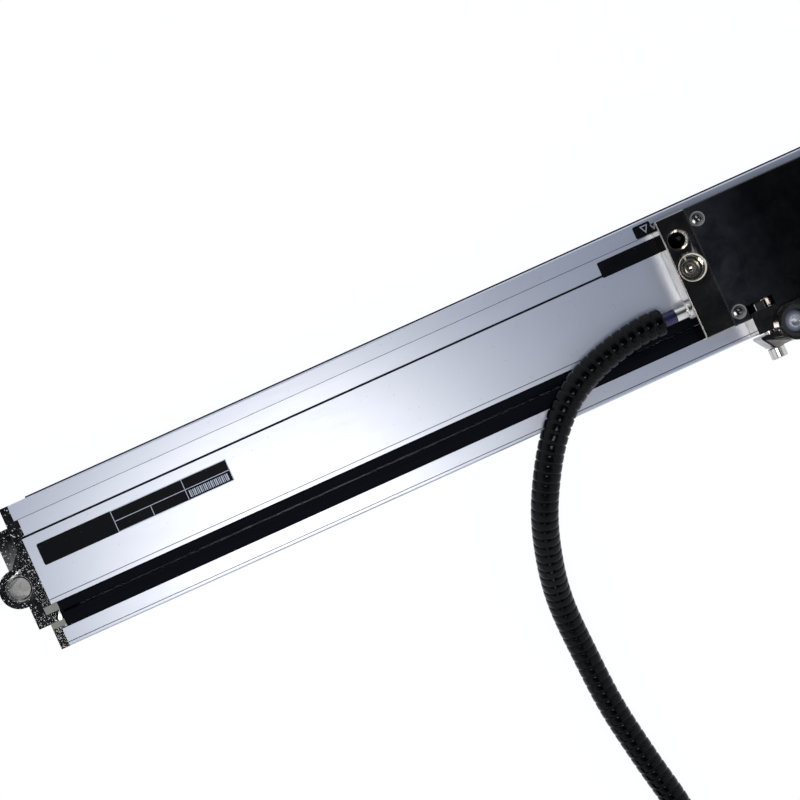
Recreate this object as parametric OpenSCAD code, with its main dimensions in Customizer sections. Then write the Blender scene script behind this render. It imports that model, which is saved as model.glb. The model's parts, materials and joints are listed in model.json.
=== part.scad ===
// Guided, sealed linear glass scale: an aluminium housing that holds a graduated glass scale behind
// two sealing lips, and a carriage on ball bearings that reads it through the slot.
// Lengths are in millimetres. The housing lies on its back: X along its length, Y across it, Z out
// of its front face. The origin is the middle of the housing's back face.

/* [Scale housing] */
// Measuring length, which is the carriage's travel
measuring_len = 270; // [170:10:740]
// Run left between each end of the travel and the end of the profile
end_run = 15.5; // [14:0.5:30]
// Width of the housing profile across its front face
profile_w = 62.5; // [62:0.5:66]
// Depth of the housing profile from back face to front face
profile_h = 37; // [36:0.5:44]
// Thickness of the profile's outer walls
wall_t = 3; // [2.5:0.5:3.5]
// Thickness of the profile's front wall, which holds the lips
front_wall_t = 6; // [5.5:0.5:6.5]
// Thickness of the profile's back wall
back_wall_t = 4; // [3:0.5:5]
// Centre line of the slot, up from the profile's lower edge
slot_y = 14; // [13.5:0.1:14.5]
// Width of the slot through the front wall
slot_w = 8; // [7:0.5:9]
// Width of the seat for both lips
lip_seat_w = 11; // [10.5:0.5:12]
// Depth of the seat for both lips
lip_seat_h = 3.8; // [3.4:0.2:4.2]
// Gap between the two sealing lips
lip_gap = 0.7; // [0.6:0.1:1.2]
// Middle of the inlaid running strip, up from the profile's lower edge
strip_y = 52; // [51.6:0.1:52.4]
// Width of the inlaid running strip
strip_w = 7; // [6:0.5:7]
// Thickness of the inlaid running strip
strip_t = 1; // [0.8:0.2:1.6]
// Width of the guide groove beside the running strip
guide_groove_w = 0.9; // [0.8:0.1:1.1]
// Size of the chamfer along the profile's long edges
edge_chamfer = 0.6; // [0.2:0.1:1]

/* [End blocks] */
// Thickness of the plate that closes the profile's end
plate_t = 3.7; // [3.5:0.1:6]
// Thickness of the gasket let into that plate
gasket_t = 0.5; // [0.3:0.1:0.8]
// Distance of the fixing hole from the end of the profile
lug_x = 11.3; // [11:0.1:16]
// Place of the fixing hole, up from the profile's lower edge
lug_y = 29.6; // [28:0.2:31]
// Outer radius of the lug round the fixing hole
lug_r = 8.4; // [7.5:0.1:9]
// Height of the lug's top face above the back face
lug_h = 31; // [24:0.5:34]
// Diameter of the fixing hole, clear for an M8 screw
fix_hole_d = 9; // [8.4:0.2:10]
// Thread core diameter of the end block screws
end_core_d = 3.3; // [2.5:0.1:3.5]
// Diameter of the end block screws
end_screw_d = 4; // [3:0.5:4]

/* [Glass scale] */
// Thickness of the glass scale
glass_t = 4; // [3:0.5:5]
// Height of the glass scale
glass_h = 18; // [16:0.5:18.5]
// Middle plane of the glass, up from the profile's lower edge
glass_y = 26; // [25.5:0.5:26.5]
// Thickness of the bond line round the foot of the glass
bond_t = 0.3; // [0.2:0.1:0.6]
// Height of the graduated track
track_h = 8; // [5:1:9]
// Thickness of the chrome graduation layer
track_t = 0.1; // [0.05:0.05:0.2]

/* [Carriage] */
// Length of the carriage
carriage_len = 129; // [124:1:150]
// Lower edge of the carriage, up from the profile's lower edge
carriage_y0 = 7.7; // [7.4:0.1:7.9]
// Width of the carriage
carriage_w = 51.3; // [50.5:0.1:52]
// Gap between the carriage and the housing's front face
ride_gap = 0.4; // [0.3:0.1:0.8]
// Height of the carriage
carriage_h = 12.6; // [12.4:0.1:14]
// Length of the solid flange at each end of the carriage
flange_len = 12.5; // [12:0.5:14]
// Wall of the carriage body
body_wall = 3.5; // [3:0.5:4]
// Floor of the carriage body
body_floor = 3; // [2.5:0.1:3.2]
// Thickness of the carriage cover
cover_t = 2; // [1.5:0.1:2.2]
// Diameter of the cover screw heads
cover_head_d = 6.4; // [5.5:0.1:7]
// Radius of the guide rollers
guide_r = 4.4; // [4:0.1:4.4]
// Width of the guide rollers
guide_w = 4; // [3:0.5:5]
// Radius of the guide rollers' axles
guide_axle_r = 1.5; // [1:0.1:1.8]
// Running clearance of every roller on its axle
axle_clear = 0.03; // [0.02:0.01:0.08]
// Gap between a roller's rim and the track it runs on
rim_gap = 0.03; // [0.02:0.01:0.1]

/* [Ports] */
// Thread core diameter of the small port
small_port_d = 5; // [4:0.5:6]
// Diameter of the small port's countersink
small_port_rim_d = 8.4; // [7.5:0.1:9]
// Thread core diameter of the large port
large_port_d = 10; // [9:0.5:10]
// Diameter of the large port's countersink
large_port_rim_d = 11.4; // [11:0.2:12]

/* [Scanning unit] */
// Length of the scanning frame
frame_len = 60; // [56:1:80]
// Radius of the rollers that run on the glass
glass_roller_r = 3; // [2.5:0.1:3.2]
// Width of the rollers that run on the glass
glass_roller_w = 3; // [2:0.5:3]
// Radius of the axles of those rollers
glass_axle_r = 0.75; // [0.5:0.05:1]
// Diameter of the condenser lens
lens_d = 8; // [6:0.5:9]
// Thickness of the blade that passes between the lips
blade_t = 0.5; // [0.3:0.1:0.5]
// Length of that blade
blade_len = 50; // [40:1:56]

/* [Driver bracket] */
// Place of the bracket's left face from the carriage's left end
bracket_x = 19.8; // [19:0.1:24]
// Width of the bracket's arm
bracket_w = 10.7; // [10:0.1:11.5]
// Distance from the bracket's left face to the middle of its eye
eye_dx = 15; // [14:0.1:16]
// Outer radius of the eye
eye_r = 7.6; // [7:0.1:8.5]
// Radius of the eye's bore
eye_bore_r = 6.4; // [5.5:0.1:6.5]
// Height of the eye
eye_h = 16.5; // [14:0.5:20]
// Radius of the coupling ball
ball_r = 5; // [4.5:0.1:5.2]
// Clearance between the ball and its cup
ball_clear = 0.1; // [0.05:0.05:0.1]
// Thread core diameter of the hole in the ball
ball_core_d = 4.2; // [3.3:0.1:5]
// Thickness of the flange that holds the bracket to the carriage
bracket_flange_t = 3.5; // [3:0.5:3.5]
// Diameter of the clamp screw
clamp_d = 4; // [3:0.5:4]

/* [Cable outlet] */
// Place of the outlet, up from the profile's lower edge
outlet_y = 21.3; // [20:0.1:23]
// Height of the outlet above the housing's front face
outlet_z = 8.2; // [8:0.1:8.4]
// Radius of the collar on the carriage
collar_r = 4.1; // [3.5:0.1:4.3]
// Radius of the ferrule and of the cable in it
ferrule_r = 2.95; // [2.5:0.05:3.2]
// Outer diameter of the ribbed hose
hose_d = 11.5; // [10:0.5:12]

/* [Connector] */
// Radius of the connector's grip
plug_r = 13; // [12:0.5:13]
// Length of the connector's grip
plug_len = 30; // [26:1:40]
// Radius of the connector's coupling ring
ring_r = 12.6; // [11.5:0.1:12.8]
// Length of the connector's coupling ring
ring_len = 16; // [12:1:24]

/* [Hidden] */
$fn = 48;
eps = 0.01;
cut = 1;                                   // how far a cutting solid runs past a face

// Housing
profile_len = measuring_len + 2 * end_run + carriage_len;
front_z = profile_h;
roof_z = profile_h - front_wall_t;
slot_shift = 0.9;                          // the slot is wider on its lower side
slot_lo = slot_y - slot_w / 2 - slot_shift;
seat_below = 6.4;
seat_lo = slot_y - seat_below;
seat_hi = seat_lo + lip_seat_w;
seat_z = profile_h - lip_seat_h;
web_y = 40;                                // lower face of the web between the two chambers
web_t = 3.5;
chamber2_lo = web_y + web_t;
chamber2_hi = profile_w - wall_t;
strip_lo = strip_y - strip_w / 2;
strip_hi = strip_y + strip_w / 2;
strip_side_gap = 0.2;
groove_y = strip_lo - strip_side_gap / 4 - guide_groove_w / 2 + 0.02;
groove_depth = guide_groove_w / 2;
strip_inset = 1.6;                         // the strip starts this far inside each end
lip_inset = 2.3;                           // the lips start this far inside each end
lip_bead = 1;
lip_bead_h = 1.6;
lip_top = profile_h - 0.15;
line_w = 0.3;                              // fine drawn lines along the front face
face_lines = [1.5, seat_hi + 1.7];
boss_r = 3.6;
boss_pts = [[wall_t + boss_r - 0.6, back_wall_t + boss_r - 0.6],
            [chamber2_hi - boss_r + 0.6, back_wall_t + boss_r - 0.6],
            [chamber2_hi - boss_r + 0.6, roof_z - boss_r + 0.6]];
end_screw_len = 14;
edge_strip_z = [29, 33];
edge_strip_y = [profile_w - 1, profile_w + 0.8];
edge_strip_inset = 7;

// Lip clamps at each end
clamp_hi = [seat_hi - 3.3, seat_hi - 0.2];
clamp_lo = [seat_lo + 1.2, seat_lo + 3.6];
tongue_y = [clamp_lo[1], clamp_hi[0]];

// Glass scale
rib_h = 4;
rib_t = 1.3;
glass_lo = glass_y - glass_t / 2;
glass_hi = glass_y + glass_t / 2;
glass_z0 = back_wall_t + bond_t;
glass_top = glass_z0 + glass_h;
glass_inset = 8;
track_z = glass_z0 + 11.5;

// Carriage
car_x0 = end_run + measuring_len;
car_x1 = car_x0 + carriage_len;
car_xc = (car_x0 + car_x1) / 2;
car_y1 = carriage_y0 + carriage_w;
car_z0 = front_z + ride_gap;
car_z1 = car_z0 + carriage_h;
floor_z = car_z0 + body_floor;
cover_z = car_z1 - cover_t;
cover_x = [car_x0 + flange_len, car_x1 - flange_len];
screw_inset = 3.6;
screw_y = [carriage_y0 + 4.8, car_y1 - 5.9];
cover_pts = [for (x = [cover_x[0] + screw_inset, cover_x[1] - screw_inset], y = screw_y) [x, y]];
pillar_r = 3.3;
cover_core_r = 1.25;
// Domed outline of a cover screw's head: share of its radius, height
cover_head_curve = [[0, 0], [1, 0], [1, 0.3], [0.93, 0.65], [0.76, 0.95], [0.48, 1.16], [0, 1.26]];
roller_z = front_z + rim_gap + guide_r;
station_inset = 14;                        // from the cover's end to the middle of a guide roller
station_dx = carriage_len / 2 - flange_len - station_inset;
station_x = [car_xc - station_dx, car_xc + station_dx];
plain_offset = 13;                         // from the slot to the plain rollers
plain_y = slot_y + plain_offset;
cheek_t = 3;
side_gap = 0.3;                            // between a roller's face and its cheek
vee_h = groove_depth - 0.1;
blade_lo = slot_y - blade_t / 2;
blade_hi = slot_y + blade_t / 2;

// Signal board under the cover, on two bars
board_foot = 3;
board_z = floor_z + board_foot;
board_gap = 10;                            // from its end to the middle of a guide roller
board_x = [station_x[0] + board_gap, station_x[1] - board_gap];
board_y = [plain_y + 2, groove_y + 3];
chip_h = 1.4;
chips = [[8, 4, 10, 8], [24, 5, 8, 5], [38, 4, 6, 10]];    // place on the board, length and width

// Ports
small_port_at = [5.8, 40.9];               // from the carriage's lower left corner
large_port_at = [6.6, 28.5];
small_port = [car_x0 + small_port_at[0], carriage_y0 + small_port_at[1]];
large_port = [car_x0 + large_port_at[0], carriage_y0 + large_port_at[1]];
small_port_depth = 9;
small_port_mouth = 0.8;
large_port_depth = 4;
nozzle_r = 3.6;
nozzle_h = 2.4;
nozzle_tip_h = 0.5;
nozzle_bore_r = 0.9;
nozzle_sink = 0.8;                         // the nozzle's shoulder lies this far below the port's floor
nozzle_z0 = car_z1 - large_port_depth - nozzle_sink - nozzle_h;
carriage_chamfer = 0.4;

// Scanning unit, carried below the front wall
leg_t = 4.5;
reticle_t = 1.2;
scan_gap = 1.2;
leg_y1 = glass_lo - track_t - scan_gap - reticle_t;
leg_y0 = leg_y1 - leg_t;
leg_z0 = 8.8;
frame_top = roof_z - 2;
bridge_z0 = glass_top + 1;
cell_gap = 1.4;
cell_t = 0.6;
board_t = 1.2;
cell_y = glass_hi + cell_gap;
rleg_y0 = cell_y + cell_t + board_t;
rleg_y1 = rleg_y0 + 5.3;
optic_z = track_z;
roller_inset = 8;                          // from the frame's end to the middle of a roller
roller_dx = frame_len / 2 - roller_inset;
edge_roller_z = glass_top + rim_gap + glass_roller_r;
face_roller_y = glass_hi + rim_gap + glass_roller_r;
face_roller_z0 = 10;
tab_z1 = face_roller_z0 + glass_roller_w + 2.6;
edge_axle_len = 9;
edge_cheek_gap = 0.3;
spring_t = 0.4;
spring_leg = 16;                           // straight part of the leaf spring
blade_foot = 14;                           // half the length of the blade's lower end
blade_z0 = 21;
blade_z1 = floor_z + 5;
blade_rib_t = 4;
blade_screw_inset = 12.5;                  // from the blade's ends
blade_screw_x = [car_xc - blade_len / 2 + blade_screw_inset, car_xc + blade_len / 2 - blade_screw_inset];
blade_screw_z = floor_z + 2.5;
blade_screw_r = 1;

// Driver bracket, its notch in the carriage, and the clamp
br_x0 = car_x0 + bracket_x;
br_x1 = br_x0 + bracket_w;
br_z1 = car_z1 + 0.3;
ear_y = [-6.6, carriage_y0 + 1.9];
notch_gap = 0.3;
notch_x = [br_x0 - notch_gap, br_x1 + notch_gap];
notch_y1 = ear_y[1] + 3.8;
notch_wall = 2;
bracket_flange_len = 40;
br_flange_x1 = br_x0 + bracket_flange_len;
br_screw_x = [br_flange_x1 - 12.5, br_flange_x1 - 4.5];
br_screw_z = (car_z0 + car_z1) / 2;
br_screw_r = 1.25;
br_head_r = 2.75;
br_head_h = 2.8;
eye_x = br_x0 + eye_dx;
eye_y = 0;
eye_z0 = car_z0;
eye_z1 = eye_z0 + eye_h;
eye_floor = 3;
ball_z = eye_z1 - ball_r - 1.4;
clamp_x = br_x0 + 5;
clamp_z = br_z1 - 4.6;
split_w = 1.2;
head_h = 4.6;
nut_h = 3.2;
nut_d = 8.1;
clamp_head_d = 6.8;

// Cable outlet, along -X out of the flange
out_z = front_z + outlet_z;
collar_len = 2.2;
ferrule_len = 4.5;
sleeve_len = 5.8;
ferrule_x1 = car_x0 - collar_len;
sleeve_x1 = ferrule_x1 - ferrule_len;
hose_x0 = sleeve_x1 - sleeve_len;
hose_r = hose_d / 2;

// Route of the hose's axis from the outlet to the coil, and from the coil to the connector,
// in the housing's own frame; and the coil itself
hose_route = [
    [273, 21.3, 45.2], [264, 21.3, 45.2], [251, 19, 44.6], [236, 14, 43.8], [223, 5.5, 43.4],
    [211, -8, 42.6], [200, -28, 36.5], [194, -48, 26], [191, -70, 14.5], [191.5, -96, 7.6],
    [193, -122, 6], [197, -148, 5.9], [201.5, -172, 5.9], [205, -200, 6.2], [206, -225, 6.7],
    [206, -250, 7]];
coil_c = [125.25, -250];
coil_r = 63.5;                             // middle of the four turns that lie on the floor
coil_z0 = 1.2;
coil_half_w = 2 * hose_d;                  // four turns on the floor, three nested on top of them
coil_h = hose_d * (1 + sin(60));
coil_side = [[coil_half_w - 2, 0], [coil_half_w, 2], [coil_half_w, hose_r * (1 + tan(15))],
             [hose_d + hose_r * tan(30), coil_h]];
tail_route = [
    [50.25, -250, 16.9], [50.6, -236, 17.6], [50, -220, 18.6], [47.5, -204, 16.6],
    [41.5, -189.5, 13], [31.5, -177.5, 11], [18, -170.5, 11.6], [2, -168.5, 13]];
plug_dir = [-1, 0];                        // the connector points this way on the table
tie_angle = 200;
tie_w = 5;
tie_t = 1.2;
tie_head = 7;

// ---- helpers ----

// Moves a piece from the housing's corner frame to the origin in the middle of the back face
module bench() translate([-profile_len / 2, -profile_w / 2, 0]) children();

// Extrudes a section drawn as (y, z) along X from x0 to x1
module along_x(x0, x1) translate([x0, 0, 0]) rotate([90, 0, 90]) linear_extrude(x1 - x0) children();

// The same piece at the right-hand end
module right_end() translate([profile_len, 0, 0]) mirror([1, 0, 0]) children();

// Box between two corners
module block(a, b) translate(a) cube(b - a);

// Cylinder along X, Y or Z from a point
module rod_x(p, r, l) translate(p) rotate([0, 90, 0]) cylinder(r = r, h = l);
module rod_y(p, r, l) translate(p) rotate([-90, 0, 0]) cylinder(r = r, h = l);
module rod_z(p, r, l) translate(p) cylinder(r = r, h = l);

// ---- housing ----

module profile_section() {
    c = edge_chamfer;
    difference() {
        polygon([[c, 0], [profile_w - c, 0], [profile_w, c], [profile_w, front_z - c],
                 [profile_w - c, front_z], [c, front_z], [0, front_z - c], [0, c]]);
        // chambers
        difference() {
            union() {
                translate([wall_t, back_wall_t]) square([web_y - wall_t, roof_z - back_wall_t]);
                translate([chamber2_lo, back_wall_t])
                    square([chamber2_hi - chamber2_lo, roof_z - back_wall_t]);
            }
            for (p = boss_pts) translate(p) circle(r = boss_r);
            for (y = [glass_lo - bond_t - rib_t, glass_hi + bond_t])
                translate([y, back_wall_t]) square([rib_t, rib_h]);
        }
        // slot, lip seat and the grooves for the lips' beads
        translate([slot_lo, roof_z - eps]) square([slot_w, front_wall_t + cut]);
        translate([seat_lo, seat_z]) square([lip_seat_w, lip_seat_h + cut]);
        translate([seat_lo - lip_bead, seat_z + 0.8]) square([lip_seat_w + 2 * lip_bead, lip_bead_h]);
        // seat of the running strip, the guide groove and the fine lines
        translate([strip_lo - strip_side_gap / 4, front_z - strip_t])
            square([strip_w + strip_side_gap * 1.25, strip_t + cut]);
        polygon([[groove_y - groove_depth, front_z], [groove_y, front_z - groove_depth],
                 [groove_y + groove_depth, front_z], [groove_y + groove_depth, front_z + cut],
                 [groove_y - groove_depth, front_z + cut]]);
        for (y = face_lines) translate([y, front_z - line_w]) square([line_w, line_w + cut]);
        // seat of the edge strip
        translate([edge_strip_y[0], edge_strip_z[0]])
            square([profile_w - edge_strip_y[0] + cut, edge_strip_z[1] - edge_strip_z[0]]);
        // cores for the end block screws
        for (p = boss_pts) translate(p) circle(d = end_core_d);
    }
}

module housing_profile() color("silver") bench() along_x(0, profile_len) profile_section();

module running_strip() color("gainsboro") bench()
    block([strip_inset, strip_lo, front_z - strip_t],
          [profile_len - strip_inset, strip_hi, front_z]);

module edge_strip() color([0.05, 0.05, 0.05]) bench()
    along_x(edge_strip_inset, profile_len - edge_strip_inset)
        polygon([[edge_strip_y[0], edge_strip_z[0]], [edge_strip_y[1] - 0.3, edge_strip_z[0]],
                 [edge_strip_y[1], edge_strip_z[0] + 0.3], [edge_strip_y[1], edge_strip_z[1] - 0.3],
                 [edge_strip_y[1] - 0.3, edge_strip_z[1]], [edge_strip_y[0], edge_strip_z[1]]]);

// Lip section from its seat wall at y = wall to its tip at y = tip; side is +1 or -1
module lip_section(wall, tip, side) {
    w = abs(tip - wall);
    translate([wall, 0]) scale([side, 1])
        polygon([[0, seat_z], [1.2, seat_z], [1.9, seat_z + 0.9], [w - 0.8, lip_top - 1.9],
                 [w, lip_top - 1.6], [w, lip_top - 0.8], [w - 0.5, lip_top - 0.35],
                 [w * 0.55, lip_top], [w * 0.25, lip_top], [0, lip_top - 0.3],
                 [0, seat_z + 0.8 + lip_bead_h], [-lip_bead, seat_z + 0.8 + lip_bead_h],
                 [-lip_bead, seat_z + 0.8], [0, seat_z + 0.8]]);
}

module sealing_lip_upper() color([0.06, 0.06, 0.07]) bench()
    along_x(lip_inset, profile_len - lip_inset) translate([seat_hi, 0]) mirror([1, 0])
        lip_section(0, seat_hi - slot_y - lip_gap / 2, 1);

module sealing_lip_lower() color([0.06, 0.06, 0.07]) bench()
    along_x(lip_inset, profile_len - lip_inset)
        lip_section(seat_lo, slot_y - lip_gap / 2, 1);

module lip_clamps() for (y = [clamp_hi, clamp_lo])
    block([-plate_t, y[0], seat_z], [lip_inset, y[1], front_z - 0.1]);

module lip_clamps_left() color([0.72, 0.7, 0.62]) bench() lip_clamps();
module lip_clamps_right() color([0.72, 0.7, 0.62]) bench() right_end() lip_clamps();

// ---- end blocks ----

gasket_in = 1;                             // gasket outline inside the profile's outline
pocket_z = 18;                             // floor of the open pocket beside the lug
screw_way = 20;                            // free way in front of the end screws' heads
pocket_y1 = 54.6;
foot_y0 = 10.5;
foot_z = 25;
foot_x = lug_x + 1.2;

module end_block() difference() {
    union() {
        // plate that closes the profile
        block([-plate_t, 0, 0], [0, profile_w, front_z]);
        // lug and the neck that joins it to the plate
        rod_z([-lug_x, lug_y, 0], lug_r, lug_h);
        block([-lug_x, lug_y - lug_r, 0], [-plate_t + eps, lug_y + lug_r, lug_h]);
        // lower step between the lug and the top of the plate, with a raised rim
        block([-lug_x - 5, lug_y, 0], [-plate_t + eps, pocket_y1, pocket_z]);
        block([-lug_x - 5, pocket_y1 - 2.8, 0], [-plate_t + eps, pocket_y1, pocket_z + 5]);
        // foot below the lug
        block([-foot_x, foot_y0, 0], [-plate_t + eps, lug_y, foot_z]);
        // tongues into the slot and into the seat of the running strip
        block([-plate_t, tongue_y[0], roof_z + 0.6], [lip_inset - 0.3, tongue_y[1], front_z - 0.6]);
        block([-plate_t, strip_lo, front_z - strip_t], [strip_inset, strip_hi, front_z]);
    }
    // fixing hole with its countersink
    rod_z([-lug_x, lug_y, -cut], fix_hole_d / 2, lug_h + 2 * cut);
    translate([-lug_x, lug_y, lug_h - 1]) cylinder(r1 = fix_hole_d / 2, r2 = fix_hole_d / 2 + 1.1, h = 1.1);
    // recess for the gasket
    block([-gasket_t, gasket_in, gasket_in], [cut / 2, profile_w - gasket_in, roof_z + 0.5]);
    // pockets for the lip clamps
    for (y = [clamp_hi, clamp_lo])
        block([-plate_t - cut, y[0], seat_z], [lip_inset, y[1], front_z + cut]);
    // countersunk holes for the screws
    for (p = boss_pts) {
        rod_x([-plate_t - cut, p[0], p[1]], end_screw_d / 2, plate_t + 2 * cut);
        translate([-plate_t, p[0], p[1]]) rotate([0, 90, 0])
            cylinder(r1 = end_screw_d / 2 + 1.8, r2 = end_screw_d / 2, h = 1.8);
        translate([-plate_t - screw_way, p[0], p[1]]) rotate([0, 90, 0])
            cylinder(r = end_screw_d / 2 + 1.8, h = screw_way);
    }
}

module end_block_left() color([0.25, 0.24, 0.24]) bench() end_block();
module end_block_right() color([0.25, 0.24, 0.24]) bench() right_end() end_block();

module end_gasket() difference() {
    block([-gasket_t, gasket_in, gasket_in], [0, profile_w - gasket_in, roof_z + 0.5]);
    for (p = boss_pts) rod_x([-plate_t, p[0], p[1]], end_screw_d / 2, plate_t + cut);
}

module end_gasket_left() color([0.1, 0.1, 0.1]) bench() end_gasket();
module end_gasket_right() color([0.1, 0.1, 0.1]) bench() right_end() end_gasket();

module end_screws() for (p = boss_pts) difference() {
    union() {
        rod_x([-plate_t, p[0], p[1]], end_screw_d / 2, plate_t);
        rod_x([-eps, p[0], p[1]], end_core_d / 2, end_screw_len);
        translate([-plate_t, p[0], p[1]]) rotate([0, 90, 0])
            cylinder(r1 = end_screw_d / 2 + 1.8, r2 = end_screw_d / 2, h = 1.8);
    }
    translate([-plate_t - cut, p[0], p[1]]) rotate([0, 90, 0]) cylinder(d = 2.9, h = 1.2 + cut, $fn = 6);
}

module end_block_screws() color("dimgray") bench() {
    end_screws();
    right_end() end_screws();
}

// ---- glass scale ----

module glass_bar() block([glass_inset, glass_lo, glass_z0],
                         [profile_len - glass_inset, glass_hi, glass_top]);

module glass_scale() color([0.75, 0.85, 0.85, 0.5]) bench() glass_bar();

module graduation() color([0.5, 0.5, 0.52]) bench()
    block([glass_inset + 2, glass_lo - track_t, track_z - track_h / 2],
          [profile_len - glass_inset - 2, glass_lo, track_z + track_h / 2]);

module scale_bond() color([0.85, 0.84, 0.78]) bench() difference() {
    block([glass_inset, glass_lo - bond_t, back_wall_t],
          [profile_len - glass_inset, glass_hi + bond_t, back_wall_t + rib_h]);
    glass_bar();
}

// ---- carriage ----

module roller_pocket(x, y) {
    block([x - guide_r - 0.6, y - guide_w / 2 - side_gap, car_z0 - cut],
          [x + guide_r + 0.6, y + guide_w / 2 + side_gap, cover_z + eps]);
}

module roller_cheeks(x, y) for (s = [-1, 1])
    translate([x, y + s * (guide_w / 2 + side_gap + cheek_t / 2), floor_z - eps])
        block([-4, -cheek_t / 2, 0], [4, cheek_t / 2, roller_z + guide_axle_r + 1.6 - floor_z]);

module bracket_holes() for (x = br_screw_x)
    rod_y([x, carriage_y0 - bracket_flange_t - cut, br_screw_z], br_screw_r,
          bracket_flange_t + body_wall + 2 * cut);

// Countersunk blind port in the flange from z0 up; its countersink ends at z1 in a straight mouth
module port(p, d, rim_d, z0, z1) translate([p[0], p[1], 0]) rotate_extrude()
    polygon([[0, z0], [d / 2, z0], [d / 2, z1 - (rim_d - d) / 2], [rim_d / 2, z1],
             [rim_d / 2, car_z1 + cut], [0, car_z1 + cut]]);

// The notch for the bracket's arm, or with grow the block that forms its walls
module bracket_notch(grow)
    block([notch_x[0] - grow, carriage_y0 - (grow > 0 ? 0 : cut), floor_z - (grow > 0 ? eps : 0)],
          [notch_x[1] + grow, notch_y1 + grow, grow > 0 ? cover_z : car_z1 + cut]);

// Box whose upper edges are chamfered; ends says which of its two X ends are, as 1 or 0
module eased_block(a, b, c, ends) intersection() {
    along_x(a[0], b[0])
        polygon([[a[1], a[2]], [b[1], a[2]], [b[1], b[2] - c], [b[1] - c, b[2]],
                 [a[1] + c, b[2]], [a[1], b[2] - c]]);
    translate([0, b[1] + cut, 0]) rotate([90, 0, 0]) linear_extrude(b[1] - a[1] + 2 * cut)
        polygon([[a[0], a[2]], [b[0], a[2]], [b[0], b[2] - c * ends[1]], [b[0] - c * ends[1], b[2]],
                 [a[0] + c * ends[0], b[2]], [a[0], b[2] - c * ends[0]]]);
}

// Solid end flange with the two ports, the nozzle's seat and the cable's way through
module carriage_flange_left() color([0.32, 0.3, 0.29]) bench() difference() {
    eased_block([car_x0, carriage_y0, car_z0], [cover_x[0], car_y1, car_z1], carriage_chamfer, [1, 0]);
    port(small_port, small_port_d, small_port_rim_d, car_z1 - small_port_depth, car_z1 - small_port_mouth);
    port(large_port, large_port_d, large_port_rim_d, car_z1 - large_port_depth, car_z1);
    rod_z([large_port[0], large_port[1], nozzle_z0], nozzle_r, nozzle_h + nozzle_sink + cut);
    rod_x([car_x0 - cut, outlet_y, out_z], ferrule_r, flange_len + 2 * cut);
}

module carriage_body() color([0.32, 0.3, 0.29]) bench() difference() {
    union() {
        difference() {
            eased_block([cover_x[0], carriage_y0, car_z0], [car_x1, car_y1, car_z1],
                        carriage_chamfer, [0, 1]);
            // seat of the cover and the hollow under it
            block([cover_x[0] - cut, carriage_y0 - cut, cover_z], [cover_x[1], car_y1 + cut, car_z1 + cut]);
            block([cover_x[0] - cut, carriage_y0 + body_wall, floor_z],
                  [cover_x[1], car_y1 - body_wall, car_z1 + cut]);
        }
        for (p = cover_pts) rod_z([p[0], p[1], floor_z - eps], pillar_r, cover_z - floor_z + eps);
        for (x = station_x, y = [groove_y, plain_y]) roller_cheeks(x, y);
        bracket_notch(notch_wall);
        // rib that holds the blade
        block([car_xc - blade_len / 2 + 2, blade_hi, floor_z - eps],
              [car_xc + blade_len / 2 - 2, blade_hi + blade_rib_t, blade_z1]);
    }
    // the notch, which goes through the floor only where the bracket's arm stands
    bracket_notch(0);
    block([notch_x[0], carriage_y0 - cut, car_z0 - cut], [notch_x[1], ear_y[1] + notch_gap, floor_z + eps]);
    for (p = cover_pts) rod_z([p[0], p[1], cover_z - 6], cover_core_r, 6 + cut);
    for (x = station_x, y = [groove_y, plain_y]) {
        roller_pocket(x, y);
        rod_y([x, y - guide_w / 2 - side_gap - cheek_t - eps, roller_z], guide_axle_r,
              guide_w + 2 * (side_gap + cheek_t) + 2 * eps);
    }
    // slot for the blade and its screw holes
    block([car_xc - blade_len / 2 - 0.2, blade_lo - 0.1, car_z0 - cut],
          [car_xc + blade_len / 2 + 0.2, blade_hi, floor_z + eps]);
    for (x = blade_screw_x) rod_y([x, blade_hi - cut, blade_screw_z], blade_screw_r, blade_rib_t + 2 * cut);
    bracket_holes();
}

module carriage_cover() color([0.04, 0.04, 0.05]) bench() difference() {
    eased_block([cover_x[0], carriage_y0, cover_z], [cover_x[1], car_y1, car_z1], carriage_chamfer, [1, 1]);
    for (p = cover_pts) rod_z([p[0], p[1], cover_z - cut], cover_core_r + 0.35, cover_t + 2 * cut);
    bracket_notch(0);
}

module cover_screws() color("silver") bench() for (p = cover_pts) difference() {
    union() {
        rod_z([p[0], p[1], cover_z - 5], cover_core_r, 5 + cover_t);
        translate([p[0], p[1], car_z1]) rotate_extrude()
            polygon([for (q = cover_head_curve) [q[0] * cover_head_d / 2, q[1]]]);
    }
    for (a = [0, 90]) translate([p[0], p[1], car_z1 + 0.7]) rotate([0, 0, a + 20])
        cube([0.6, 3, 1.6], center = true);
}

module guide_axles() color("lightgray") bench()
    for (x = station_x, y = [groove_y, plain_y])
        rod_y([x, y - guide_w / 2 - side_gap - cheek_t, roller_z], guide_axle_r,
              guide_w + 2 * (side_gap + cheek_t));

// Roller with its axis along Z before it is turned; vee is the height of its guide rim, or 0
module roller(r, w, bore, vee) rotate_extrude($fn = 64) {
    h = w / 2;
    rim = vee > 0 ? [[r, -vee], [r + vee, 0], [r, vee]] : [];
    polygon(concat([[bore, -h], [r * 0.5, -h], [r * 0.5, -h + 0.2], [r * 0.78, -h + 0.2],
                    [r * 0.78, -h], [r - 0.2, -h], [r, -h + 0.2]], rim,
                   [[r, h - 0.2], [r - 0.2, h], [r * 0.78, h], [r * 0.78, h - 0.2],
                    [r * 0.5, h - 0.2], [r * 0.5, h], [bore, h]]));
}

module guide_roller(i, y, vee) color("gainsboro") bench() translate([station_x[i], y, roller_z])
    rotate([90, 0, 0]) roller(guide_r, guide_w, guide_axle_r + axle_clear, vee);

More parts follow.
